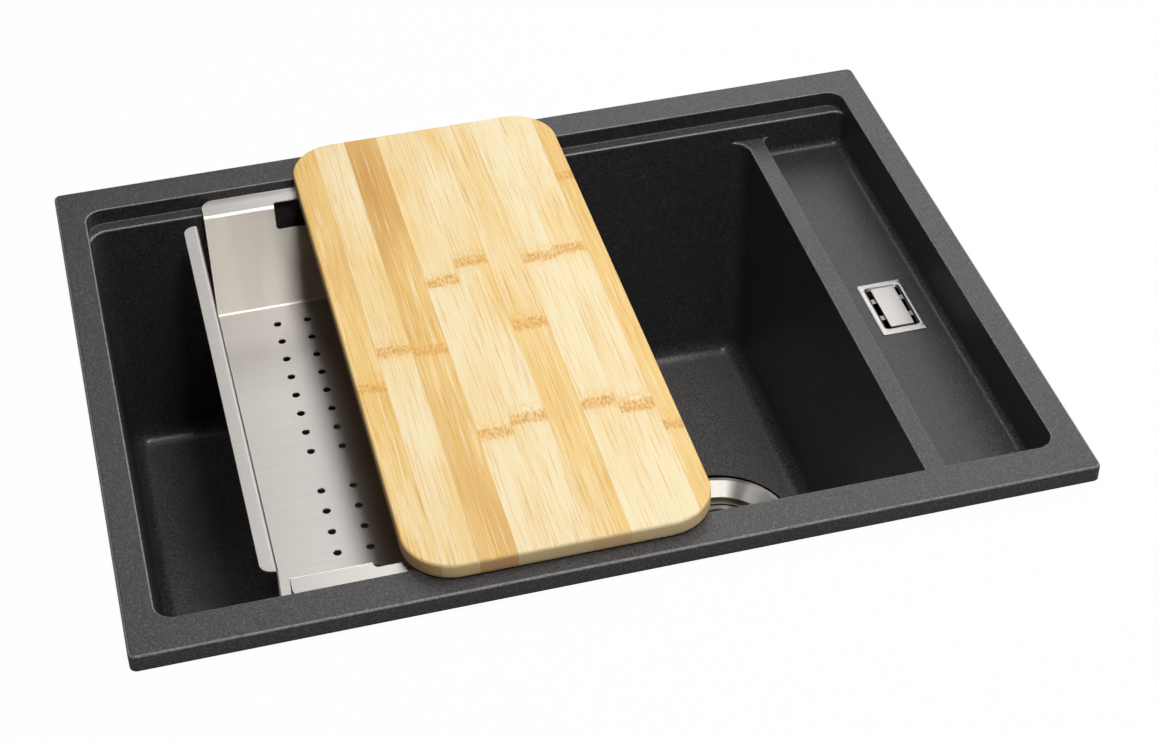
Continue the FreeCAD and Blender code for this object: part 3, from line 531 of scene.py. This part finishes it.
def brushed_steel(name, colour, roughness, stretch, fineness, anisotropy, contrast=0.12):
    """Stainless steel, brushed along the axis whose stretch is small; its tree and shader too."""
    made, tree, shader = material(name, colour, roughness, metallic=1.0)
    shader.inputs["Anisotropic"].default_value = anisotropy
    lines = node(tree, "ShaderNodeGroup", node_tree=brush_lines)
    lines.inputs["Stretch"].default_value = stretch
    lines.inputs["Fineness"].default_value = fineness
    dark = tuple(channel * (1.0 - contrast) for channel in colour)
    shade = mix_colour(tree, ramp_node(tree, lines.outputs["Lines"], 0.3, 0.7), (*dark, 1),
                       (*colour, 1))
    clouded = ramp_node(tree, lines.outputs["Cloud"], 0.35, 0.65, 0.95, 1.0)
    shade = mix_colour(tree, clouded, (*dark, 1), shade)
    feed(tree, shader, "Base Color", shade)
    feed(tree, shader, "Roughness", ramp_node(tree, lines.outputs["Lines"], 0.25, 0.75,
                                              roughness - 0.04,
                                              roughness + 0.05))
    bump(tree, shader, lines.outputs["Lines"], 0.12, 0.00001)
    return made, tree, shader


def glint_direction(tree, shader, direction):
    """Points the long way of the highlights, given in object space, into the shader."""
    turned = node(tree, "ShaderNodeVectorTransform", {0: direction}, vector_type="VECTOR",
                  convert_from="OBJECT", convert_to="WORLD")
    feed(tree, shader, "Tangent", turned.outputs[0])


cover_steel, tree, shader = brushed_steel("cover_steel", (0.5, 0.484, 0.468), 0.44,
                                          (0.02, 1.0, 1.0), 2600.0, 0.8)
across = node(tree, "ShaderNodeCombineXYZ", {1: 1.0})
glint_direction(tree, shader, across.outputs[0])
frame_mesh = nodes["overflow_frame"].data.copy()
frame_top, frame_slope, frame_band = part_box("overflow_frame")[1].z, 0.0005, 0.0015
slope_reach, on_top = 0.0007, 0.00001
pressed = bmesh.new()
pressed.from_mesh(frame_mesh)
bmesh.ops.remove_doubles(pressed, verts=pressed.verts, dist=0.000002)
top_faces = [face for face in pressed.faces if face.calc_center_median().z > frame_top - on_top]
bmesh.ops.inset_region(pressed, faces=top_faces, thickness=frame_band, use_even_offset=True)
low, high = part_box("overflow_frame")
for vertex in pressed.verts:
    inset = min(vertex.co.x - low.x, high.x - vertex.co.x, vertex.co.y - low.y,
                high.y - vertex.co.y)
    if vertex.co.z > frame_top - on_top and inset < slope_reach:
        vertex.co.z -= frame_slope
pressed.to_mesh(frame_mesh)
pressed.free()
stand_for("overflow_frame", frame_mesh, cover_steel)
rounded_node("overflow_plate", cover_steel, 0.00045)
spring_steel, tree, shader = brushed_steel("spring_steel", (0.26, 0.26, 0.26), 0.42,
                                           (0.05, 1.0, 1.0), 2500.0, 0.0)
finish_node("overflow_plate_clips", spring_steel)
cover_painted_shade_level = -0.0325


def painted_shade_below(made, level):
    """Painted shade: below this height the steel is painted near black, for the shade of the black
    box under it.
    """
    tree = made.node_tree
    shader = tree.nodes["Principled BSDF"]
    height = axes(tree, object_coordinates(tree))[2]
    lit = ramp_node(tree, height, level - 0.001, level + 0.0006)
    shown = shader.inputs["Base Color"].links[0].from_socket
    feed(tree, shader, "Base Color", mix_colour(tree, lit, (0.02, 0.02, 0.02, 1), shown))


painted_shade_below(cover_steel, cover_painted_shade_level)
painted_shade_below(spring_steel, cover_painted_shade_level)

rubber = mottled("rubber", (0.01, 0.01, 0.01), (0.032, 0.031, 0.03), 0.55, 0.8, 1200.0)
finish_node("overflow_gasket", rubber)
rounded_node("overflow_housing", black_plastic, 0.0006)
screws("overflow_screws", [(0.27, -0.024), (0.27, 0.016)], {
    "Shank Radius": 0.00175, "Thread Pitch": 0.001, "Thread Depth": 0.0003, "Head Radius": 0.0033,
    "Head Height": 0.0022, "Slot Width": 0.0008, "Rows": 120})


# ---- overflow hose -----------------------------------------------------------------------
# Grey corrugated hose from the housing's spigot down and across to the waste, with smooth
# cuffs pushed over both spigots and held by steel band clips.

def ridged_piece_group():
    """The ridged tube on a path of points."""
    group, given, result = new_geometry_group("ridged_piece", tube_inputs + [
        ("Material", "NodeSocketMaterial", None)])
    path = node(group, "GeometryNodeMeshToCurve", {"Mesh": given["Geometry"]})
    sizes = {label: given[label] for label, kind, value in tube_inputs}
    tube = node(group, "GeometryNodeGroup", {"Geometry": path.outputs[0], **sizes},
                node_tree=ridged_tube)
    return finish_tree(group, tube.outputs[0], given, result)


ridged_piece = ridged_piece_group()

hose_material = mottled("hose_plastic", (0.3, 0.305, 0.31), (0.46, 0.465, 0.47), 0.34, 0.48, 500.0)
hose_x, hose_y, hose_top_z, hose_foot_z, hose_end_x = 0.27, -0.004, -0.073, -0.26205, 0.1935
hose_bend_r = 0.05
bend_steps = 24
hose_path = [(hose_x, hose_y, hose_top_z)]
for step in range(bend_steps + 1):
    angle = math.pi / 2 * step / bend_steps
    hose_path.append((hose_x - hose_bend_r * (1 - math.cos(angle)), hose_y,
                      hose_foot_z + hose_bend_r * (1 - math.sin(angle))))
hose_path.append((hose_end_x, hose_y, hose_foot_z))
hose_links = [(index, index + 1) for index in range(len(hose_path) - 1)]
stand_for("overflow_hose", grow(ridged_piece, hose_path, hose_links, {
    "Outer Radius": 0.012, "Bore Radius": 0.0105, "Ridge Depth": 0.0012, "Ridge Pitch": 0.0042,
    "Turn": 0.0,
    "Plain Ends": 0.021, "Sides": 36, "Rows": 420, "Material": hose_material}), hose_material)


def slotted_band_group():
    """Steel band round Z, cut across with slots for its worm screw."""
    group, given, result = new_geometry_group("slotted_band", [
        ("Radius", "NodeSocketFloat", 0.013), ("Thickness", "NodeSocketFloat", 0.001),
        ("Width", "NodeSocketFloat", 0.009), ("Slots", "NodeSocketInt", 40),
        ("Material", "NodeSocketMaterial", None)])
    half = times(group, given["Width"], 0.5)
    ends = [node(group, "ShaderNodeCombineXYZ", {2: times(group, half, sign)}).outputs[0]
            for sign in (-1.0, 1.0)]
    line = node(group, "GeometryNodeCurvePrimitiveLine", {"Start": ends[0], "End": ends[1]})
    bore = minus(group, given["Radius"], given["Thickness"])
    band = node(group, "GeometryNodeGroup", {
        "Geometry": line.outputs[0], "Outer Radius": given["Radius"], "Bore Radius": bore,
        "Ridge Depth": 0.0,
        "Sides": 80, "Rows": 2}, node_tree=ridged_tube)
    ring = node(group, "GeometryNodeMeshCircle",
                {"Vertices": given["Slots"], "Radius": given["Radius"]})
    out = node(group, "GeometryNodeInputPosition").outputs[0]
    facing = node(group, "FunctionNodeAlignRotationToVector", {"Vector": out}, axis="X")
    size = node(group, "ShaderNodeCombineXYZ", {
        0: times(group, given["Thickness"], 0.9), 1: 0.0009,
        2: times(group, given["Width"], 0.6)})
    cutter = node(group, "GeometryNodeMeshCube", {"Size": size.outputs[0]})
    cutters = node(group, "GeometryNodeInstanceOnPoints", {
        "Points": ring.outputs[0], "Instance": cutter.outputs[0], "Rotation": facing.outputs[0]})
    real = node(group, "GeometryNodeRealizeInstances", {"Geometry": cutters.outputs[0]})
    cut = node(group, "GeometryNodeMeshBoolean",
               {"Mesh 1": band.outputs[0], "Mesh 2": real.outputs[0]},
               operation="DIFFERENCE", solver="EXACT")
    return finish_tree(group, cut.outputs[0], given, result)


slotted_band = slotted_band_group()
band_r, worm_r, worm_length = 0.01305, 0.0026, 0.011


def hose_clip(name, along_x):
    """Band, worm housing and slotted screw in one mesh, round the hose at the CAD clip's middle."""
    low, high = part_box(name)
    middle = Vector(((low.x + high.x) / 2, hose_y, (low.z + high.z) / 2))
    if along_x:
        middle.z = hose_foot_z
    band = grow(slotted_band, [(0, 0, 0)], [], {"Radius": band_r, "Material": zinc_plate})
    worm = grow(slotted_screws, [(worm_length / 2, 0, 0)], [], {
        "Shank Radius": worm_r - 0.0004, "Thread Depth": 0.0002, "Length": worm_length,
        "Head Radius": worm_r,
        "Head Height": 0.002, "Slot Width": 0.0007, "Tilt": (0.0, math.pi / 2, 0.0), "Rows": 60,
        "Material": zinc_plate})
    worm.transform(Matrix.Translation((0, band_r + worm_r * 0.55, 0)))
    clip = bmesh.new()
    clip.from_mesh(band)
    clip.from_mesh(worm)
    house = bmesh.ops.create_cube(clip, size=1.0)["verts"]
    place = Matrix.Translation((0, band_r + worm_r * 0.45,
                                0)) @ Matrix.Diagonal((0.0076, worm_r * 2, 0.0086, 1))
    bmesh.ops.transform(clip, matrix=place, verts=house)
    edges = {edge for vertex in house for edge in vertex.link_edges}
    long_edges = [edge for edge in edges if abs((edge.verts[0].co - edge.verts[1].co).x) > 0.001
                  and edge.verts[0].co.y > band_r]
    bmesh.ops.bevel(clip, geom=long_edges, offset=0.0022, segments=5, profile=0.5, affect="EDGES")
    turned = Matrix.Rotation(math.pi / 2, 4, "Y") if along_x else Matrix.Identity(4)
    bmesh.ops.transform(clip, matrix=Matrix.Translation(middle) @ turned, verts=clip.verts)
    mesh = bpy.data.meshes.new(name)
    clip.to_mesh(mesh)
    clip.free()
    stand_for(name, mesh, zinc_plate)


hose_clip("hose_clip_upper", False)
hose_clip("hose_clip_lower", True)


# ---- basket waste ------------------------------------------------------------------------
# Stainless flange spun on a lathe and polished, with the basket strainer in its cup.

waste_steel, tree, shader = material("waste_steel", (0.6, 0.585, 0.56), 0.4, metallic=1.0)
shader.inputs["Anisotropic"].default_value = 0.6
from_centre = node(tree, "ShaderNodeMapping", {0: object_coordinates(tree),
                                               1: (-waste_centre[0], -waste_centre[1], 0)})
parts = axes(tree, from_centre.outputs[0])
outwards = node(tree, "ShaderNodeCombineXYZ", {0: parts[0], 1: parts[1]})
radius = length_of(tree, outwards.outputs[0])
rings = node(tree, "ShaderNodeCombineXYZ", {0: radius, 1: parts[2]})
turning = noise(tree, rings.outputs[0], 2600.0, 3.0, 0.7)
shade = mix_colour(tree, ramp_node(tree, turning, 0.3, 0.7), (0.52, 0.5, 0.475, 1),
                   (0.64, 0.62, 0.595, 1))
# painted highlights and shade: soft light and dark sectors that run in to the middle, painted as
# spun steel shows them under lamps
around = vector_node(tree, "NORMALIZE", outwards.outputs[0])
bearing = math_node(tree, "ARCTAN2", parts[1], parts[0])
sector_count, sector_turn = 8.0, -1.815
fan = math_node(tree, "COSINE", math_node(tree, "MULTIPLY_ADD", bearing, sector_count, sector_turn))
uneven = ramp_node(tree, noise(tree, around, 2.1, 3.0, 0.6), 0.3, 0.6, 1.0, 0.6)
painted_sectors = times(tree, ramp_node(tree, fan, -0.2, 1.0), uneven)
shade = mix_colour(tree, times(tree, painted_sectors, 0.85), shade, (0.17, 0.16, 0.145, 1))
# painted shade and light: the dish is painted duller at the back and brighter at the right, to
# balance its highlights
back_bearing, right_bearing = 1.6, 0.5
towards_back = math_node(tree, "COSINE", minus(tree, bearing, back_bearing))
shade = mix_colour(tree, ramp_node(tree, towards_back, 0.88, 0.97), shade, (0.5, 0.49, 0.465, 1),
                   "MULTIPLY")
towards_right = math_node(tree, "COSINE", minus(tree, bearing, right_bearing))
painted_light_right = times(tree, ramp_node(tree, towards_right, 0.93, 1.0), 0.8)
shade = mix_colour(tree, painted_light_right, shade, (0.95, 0.93, 0.9, 1))
# painted shade: the step under the dish is painted duller, and the wall of the cup beside the
# basket is painted near black, as it lies in the dark
step_radii, step_heights = (0.0411, 0.0413), (-0.2452, -0.2449)
cup_radii, basket_radii = (0.0382, 0.0386), (0.0366, 0.0369)
outside_basket = ramp_node(tree, radius, *basket_radii)
painted_step_shade = times(tree, falling(tree, radius, *step_radii), ramp_node(tree, parts[2], *step_heights))
painted_step_shade = times(tree, painted_step_shade, outside_basket)
shade = mix_colour(tree, times(tree, painted_step_shade, 0.8), shade, (0.27, 0.255, 0.2, 1))
painted_cup_shade = times(tree, falling(tree, radius, *cup_radii), outside_basket)
shade = mix_colour(tree, painted_cup_shade, shade, (0.02, 0.019, 0.016, 1))
feed(tree, shader, "Base Color", shade)
feed(tree, shader, "Roughness", ramp_node(tree, turning, 0.3, 0.7, 0.36, 0.44))
bump(tree, shader, turning, 0.06, 0.00001)
glint_direction(tree, shader, outwards.outputs[0])
finish_node("waste_flange", waste_steel)
finish_node("basket_strainer", waste_steel)
brass = mottled("brass", (0.5, 0.32, 0.12), (0.76, 0.55, 0.24), 0.24, 0.42, 600.0, 0.00001, 1.0)
rounded_node("waste_screw_nut", brass, 0.0003)
screws("waste_centre_screw", [waste_centre], {
    "Shank Radius": 0.003, "Thread Pitch": 0.0011, "Thread Depth": 0.0003, "Head Radius": 0.006,
    "Head Height": 0.0035, "Slot Width": 0.0012, "Rows": 140})
for name in ("waste_flange_gasket", "waste_lower_gasket", "basket_seal"):
    finish_node(name, rubber)
finish_node("waste_body", black_plastic)
finish_node("basket_knob", black_plastic)

# the tailpiece: socket and funnel turned in one, and below them the outlet with its thread
socket_r, pot_r, outlet_r, outlet_bore_r = 0.049, 0.0465, 0.0239, 0.0205
socket_top_z, pot_foot_z, outlet_top_z, outlet_foot_z = -0.28005, -0.28805, -0.30005, -0.32205
tail_wall = 0.0025
tail_outline = [(pot_r, socket_top_z), (socket_r, socket_top_z), (socket_r, pot_foot_z - tail_wall),
                (outlet_r, outlet_top_z), (outlet_bore_r, outlet_top_z),
                (outlet_bore_r, outlet_top_z + tail_wall), (pot_r - tail_wall, pot_foot_z),
                (pot_r, pot_foot_z)]


def turned_mesh(outline, sides=96):
    """Closed outline of (radius, height) turned about the waste's axis."""
    shell = bmesh.new()
    rings = []
    for radius, height in outline:
        spots = [math.tau * step / sides for step in range(sides)]
        rings.append([shell.verts.new((waste_centre[0] + radius * math.cos(spot),
                                       waste_centre[1] + radius * math.sin(spot),
                                       height)) for spot in spots])
    for ring, following in zip(rings, rings[1:] + rings[:1]):
        for step in range(sides):
            after = (step + 1) % sides
            shell.faces.new((ring[step], ring[after], following[after], following[step]))
    return shell


tail = turned_mesh(tail_outline)
tail.from_mesh(grow(ridged_piece, [(*waste_centre, outlet_top_z), (*waste_centre, outlet_foot_z)],
                    [(0, 1)], {
    "Outer Radius": outlet_r, "Bore Radius": outlet_bore_r, "Ridge Depth": 0.0011,
    "Ridge Pitch": 0.0032,
    "Turn": 1.0, "Plain Ends": 0.0005, "Sides": 96, "Rows": 70, "Material": black_plastic}))
tail_mesh = bpy.data.meshes.new("waste_tailpiece")
tail.to_mesh(tail_mesh)
tail.free()
stand_for("waste_tailpiece", tail_mesh, black_plastic)


# ---- colander tray -----------------------------------------------------------------------
# Folded from 1 mm stainless sheet with a fine long brush finish, open at its four corners,
# punched with rows of drain holes.

tray_steel, tree, shader = brushed_steel("tray_steel", (0.46, 0.436, 0.413), 0.42,
                                         (0.012, 1.0, 1.0), 1700.0, 0.95)
sides = axes(tree, own_normal(tree))
end_wall = math_node(tree, "GREATER_THAN", math_node(tree, "ABSOLUTE", sides[1]), 0.6)
across = node(tree, "ShaderNodeCombineXYZ", {1: minus(tree, 1.0, end_wall), 2: end_wall})
glint_direction(tree, shader, across.outputs[0])
brushed = shader.inputs["Base Color"].links[0].from_socket
# painted light: the end walls are painted much paler and warmer than the flat sheet, with soft
# painted streaks of reflection
painted_streaks = noise(tree, stretched(tree, object_coordinates(tree), (1.0, 1.0, 0.15)), 30.0, 2.0, 0.5)
painted_wall_light = mix_colour(tree, ramp_node(tree, painted_streaks, 0.4, 0.62), (1.0, 0.945, 0.86, 1),
                        (0.92, 0.86, 0.775, 1))
shade = mix_colour(tree, end_wall, brushed, painted_wall_light)
# painted highlight: the bends are painted brighter than the flat sheet
bend = math_node(tree, "ABSOLUTE", sides[1])
bend = times(tree, ramp_node(tree, bend, 0.12, 0.3), falling(tree, bend, 0.8, 0.95))
shade = mix_colour(tree, bend, shade, (0.9, 0.88, 0.85, 1))
feed(tree, shader, "Base Color", shade)
finish_node("colander_tray", tray_steel)
finish_node("tray_glide_front", black_plastic)
finish_node("tray_glide_back", black_plastic)


# ---- bamboo board ------------------------------------------------------------------------
# Glued up from bamboo strips that run front to back, sanded and oiled.

board_left, board_front, board_length, board_width = -0.144, -0.2375, 0.48, 0.208

# strips from left to right: where each starts across the board, how dark it is, and where its
# knuckles lie along it, as shares of the board's width and length
board_strips = [
    (0.0, 0.68, 0.38, 0.0), (0.101, 0.3, 0.452, 0.0), (0.216, 0.95, 0.441, 0.0),
    (0.337, 0.16, 0.594, 0.238), (0.457, 0.3, 0.632, 0.258), (0.577, 0.46, 0.462, 0.0),
    (0.697, 0.12, 0.615, 0.263), (0.814, 0.22, 0.622, 0.242), (0.933, 0.5, 0.807, 0.191)]

bamboo, tree, shader = material("bamboo", (0.85, 0.68, 0.4), 0.5, specular=0.35)
where = object_coordinates(tree)
place = axes(tree, where)
share_x = math_node(tree, "DIVIDE", minus(tree, place[0], board_left), board_width)
along = minus(tree, place[1], board_front)


def strip_values(tree, share):
    """Tone and the places of the two knuckles of the strip at this share of the board's width."""
    strips = node(tree, "ShaderNodeValToRGB", {0: share})
    strips.color_ramp.interpolation = "CONSTANT"
    while len(strips.color_ramp.elements) < len(board_strips):
        strips.color_ramp.elements.new(0.5)
    for element, (start, tone, first, second) in zip(strips.color_ramp.elements, board_strips):
        element.position = start
        element.color = (tone, first, second, 1.0)
    return node(tree, "ShaderNodeSeparateColor", {0: strips.outputs[0]}).outputs


tone, first_knuckle, second_knuckle = strip_values(tree, share_x)
beside = strip_values(tree, plus(tree, share_x, 0.0022))[0]
seam = math_node(tree, "GREATER_THAN", math_node(tree, "ABSOLUTE", minus(tree, beside, tone)),
                 0.005)

offset = node(tree, "ShaderNodeCombineXYZ", {0: tone, 1: times(tree, tone, 7.0), 2: tone})
own = vector_node(tree, "ADD", where, offset.outputs[0])
fibres = noise(tree, stretched(tree, own, (1.0, 0.02, 1.0)), 900.0, 3.0, 0.65)
threads = noise(tree, stretched(tree, own, (1.0, 0.018, 1.0)), 560.0, 3.0, 0.65)
bands = noise(tree, stretched(tree, own, (1.0, 0.05, 1.0)), 95.0, 3.0, 0.55)
clouds = noise(tree, stretched(tree, own, (1.0, 0.35, 1.0)), 16.0, 2.0, 0.5)

light, mid, tan = (0.84, 0.715, 0.455, 1), (0.8, 0.545, 0.2, 1), (0.58, 0.305, 0.075, 1)
drift = times(tree, minus(tree, clouds, 0.5), 1.3)
drift = plus(tree, drift, times(tree, minus(tree, bands, 0.5), 0.6))
deep = plus(tree, tone, drift)
shade = mix_colour(tree, ramp_node(tree, deep, 0.0, 0.62), light, mid)
shade = mix_colour(tree, ramp_node(tree, deep, 0.55, 1.3), shade, tan)
pale_thread = ramp_node(tree, threads, 0.5, 0.68)
shade = mix_colour(tree, times(tree, pale_thread, 0.5), shade, (0.87, 0.75, 0.49, 1))
streak = times(tree, ramp_node(tree, fibres, 0.5, 0.66), plus(tree, 0.45, tone))
shade = mix_colour(tree, times(tree, streak, 0.75), shade, (0.68, 0.37, 0.08, 1))
shade = mix_colour(tree, times(tree, seam, 0.22), shade, (0.5, 0.28, 0.09, 1))


def knuckle(tree, middle):
    """How near a knuckle is: its dark line, the dashes round it, and the rippled grain beyond."""
    wave = times(tree, minus(tree, noise(tree, own, 50.0, 2.0), 0.5), 0.005)
    past = minus(tree, plus(tree, along, wave),
                 times(tree, middle, board_length))
    real = math_node(tree, "GREATER_THAN", middle, 0.05)
    reach = []
    for shift, near, far in ((0.0, 0.0007, 0.0022), (0.0015, 0.0035, 0.0075),
                             (0.004, 0.006, 0.017)):
        away = math_node(tree, "ABSOLUTE", minus(tree, past, shift))
        reach.append(times(tree, falling(tree, away, near, far), real))
    return reach


line, dashed, rippled = [larger(tree, one, other) for one, other
                         in zip(knuckle(tree, first_knuckle), knuckle(tree, second_knuckle))]
speckle = noise(tree, stretched(tree, own, (1.0, 0.3, 1.0)), 800.0, 2.0, 0.6)
ripple = times(tree, rippled, ramp_node(tree, speckle, 0.46, 0.56))
shade = mix_colour(tree, times(tree, ripple, 0.5), shade, (0.77, 0.46, 0.13, 1))
shade = mix_colour(tree, times(tree, dashed, 0.5), shade, (0.8, 0.46, 0.11, 1))
dots = times(tree, dashed, ramp_node(tree, speckle, 0.46, 0.57))
dots = larger(tree, dots, times(tree, line, ramp_node(tree, threads, 0.4, 0.56, 0.0, 0.6)))
shade = mix_colour(tree, times(tree, dots, 0.72), shade, (0.6, 0.29, 0.06, 1))

# sawn ends and edges: speckled where the fibres are cut across, in two layers; painted light: their
# colour is painted pale, to make up for the little light that reaches the sides
upward = axes(tree, own_normal(tree))[2]
edge = minus(tree, 1.0, ramp_node(tree, upward, 0.35, 0.55))
pores = ramp_node(tree, noise(tree, where, 2100.0, 2.0, 0.6), 0.4, 0.62)
glue_line_heights = (0.0176, 0.0184)
upper = ramp_node(tree, place[2], *glue_line_heights)
cut = mix_colour(tree, ramp_node(tree, tone, 0.1, 0.9), (1.0, 0.78, 0.42, 1), (0.84, 0.5, 0.23, 1))
cut = mix_colour(tree, times(tree, pores, 0.15), cut, (0.45, 0.27, 0.12, 1))
cut = mix_colour(tree, times(tree, upper, 0.12), cut, (0.4, 0.24, 0.1, 1))
shade = mix_colour(tree, edge, shade, cut)
feed(tree, shader, "Base Color", shade)
feed(tree, shader, "Roughness", ramp_node(tree, fibres, 0.3, 0.7, 0.46, 0.58))
relief = minus(tree, fibres, times(tree, dots, 0.6))
bump(tree, shader, relief, 0.35, 0.00008)
finish_node("cutting_board", bamboo)


# ---- worktop, light and camera -----------------------------------------------------------
# The sink hangs in a cut-out of a plain white worktop, under soft studio light.

worktop_reach = 3.0
cutout_half = (0.315, 0.24)
worktop_drop = 0.0003

worktop_mesh = bpy.data.meshes.new("worktop")
build = bmesh.new()
outer = [build.verts.new((x * worktop_reach, y * worktop_reach, -worktop_drop))
         for x, y in ((-1, -1), (1, -1), (1, 1), (-1, 1))]
inner = [build.verts.new((x * cutout_half[0], y * cutout_half[1], -worktop_drop))
         for x, y in ((-1, -1), (1, -1), (1, 1), (-1, 1))]
for i in range(4):
    j = (i + 1) % 4
    build.faces.new((outer[i], outer[j], inner[j], inner[i]))
build.to_mesh(worktop_mesh)
build.free()
worktop = bpy.data.objects.new("worktop", worktop_mesh)
bpy.context.scene.collection.objects.link(worktop)
white = bpy.data.materials.new("worktop_white")
white.use_nodes = True
tree = white.node_tree
tree.nodes.remove(tree.nodes["Principled BSDF"])
matt = node(tree, "ShaderNodeBsdfDiffuse", {"Color": (0.7, 0.7, 0.7, 1)})
glow = node(tree, "ShaderNodeEmission", {"Color": (1, 1, 1, 1), "Strength": 1.0})
path = node(tree, "ShaderNodeLightPath")
looked_at = larger(tree, path.outputs["Is Camera Ray"], path.outputs["Is Transmission Ray"])
seen_share, mirrored_share, mirrored_strength = 0.975, 0.9, 0.3
shine = times(tree, looked_at, seen_share)
shine = larger(tree, shine, times(tree, path.outputs["Is Glossy Ray"], mirrored_share))
strength = ramp_node(tree, path.outputs["Is Glossy Ray"], 0.0, 1.0, 1.0, mirrored_strength)
tree.links.new(strength, glow.inputs["Strength"])
plain = node(tree, "ShaderNodeMixShader", {0: shine, 1: matt.outputs[0], 2: glow.outputs[0]})
clear = node(tree, "ShaderNodeBsdfTransparent")
back = node(tree, "ShaderNodeNewGeometry").outputs["Backfacing"]
both = node(tree, "ShaderNodeMixShader", {0: back, 1: plain.outputs[0], 2: clear.outputs[0]})
tree.links.new(both.outputs[0], tree.nodes["Material Output"].inputs[0])
worktop.data.materials.append(white)

world = bpy.data.worlds.new("studio")
bpy.context.scene.world = world
world.use_nodes = True
tree = world.node_tree
path = node(tree, "ShaderNodeLightPath")
seen = larger(tree, path.outputs["Is Camera Ray"], path.outputs["Is Transmission Ray"])
dome = 0.025
strength = ramp_node(tree, seen, 0.0, 1.0, dome, 1.0)
tree.links.new(strength, tree.nodes["Background"].inputs["Strength"])
tree.nodes["Background"].inputs["Color"].default_value = (1, 1, 1, 1)


def softbox(name, place, size, power):
    """Rectangular studio light aimed at the sink."""
    lamp = bpy.data.lights.new(name, "AREA")
    lamp.shape = "RECTANGLE"
    lamp.size, lamp.size_y = size
    lamp.energy = power
    holder = bpy.data.objects.new(name, lamp)
    aim = (-Vector(place)).to_track_quat("-Z", "Y").to_matrix().to_4x4()
    holder.matrix_world = Matrix.Translation(place) @ aim
    holder.visible_camera = False
    bpy.context.scene.collection.objects.link(holder)


softbox("overhead_softbox", (0.45, 0.3, 2.0), (1.2, 1.2), 12.5)
softbox("back_softbox", (0.1, 2.15, 2.25), (1.0, 1.0), 8.0)
softbox("back_right_softbox", (1.35, 2.2, 1.8), (1.8, 1.5), 22.0)
softbox("right_softbox", (2.3, 0.3, 1.5), (1.2, 2.0), 28.0)
softbox("left_softbox", (-1.0, 0.0, 2.0), (0.8, 0.8), 3.5)
softbox("key_light", (0.1, -0.9, 2.2), (0.4, 0.3), 18.0)
softbox("front_right_softbox", (0.55, -0.35, 2.1), (0.5, 0.5), 7.0)
softbox("under_softbox", (-0.6, -1.4, -1.3), (2.0, 1.2), 45.0)
softbox("under_right_softbox", (1.5, 0.4, -1.3), (1.6, 1.2), 40.0)
softbox("under_back_softbox", (-0.7, 1.6, -1.3), (1.8, 1.2), 40.0)

camera_place = (-0.2944, -1.2949, 1.1022)
camera_azimuth = math.radians(14.36)
camera_elevation = math.radians(40.6)
camera_roll = math.radians(-0.857)
photo_width = 1156
focal_pixels = 2385.4
centre_offset_pixels = 13.4
sensor_width = 36.0

camera_data = bpy.data.cameras.new("camera")
camera_data.sensor_width = sensor_width
camera_data.lens = focal_pixels * sensor_width / photo_width
camera_data.shift_x = -centre_offset_pixels / photo_width
camera = bpy.data.objects.new("camera", camera_data)
camera.matrix_world = (Matrix.Translation(camera_place) @ Matrix.Rotation(-camera_azimuth, 4, "Z")
                       @ Matrix.Rotation(math.pi / 2 - camera_elevation, 4, "X")
                       @ Matrix.Rotation(camera_roll, 4, "Z"))
bpy.context.scene.collection.objects.link(camera)
bpy.context.scene.camera = camera
bpy.context.scene.view_settings.view_transform = "Standard"
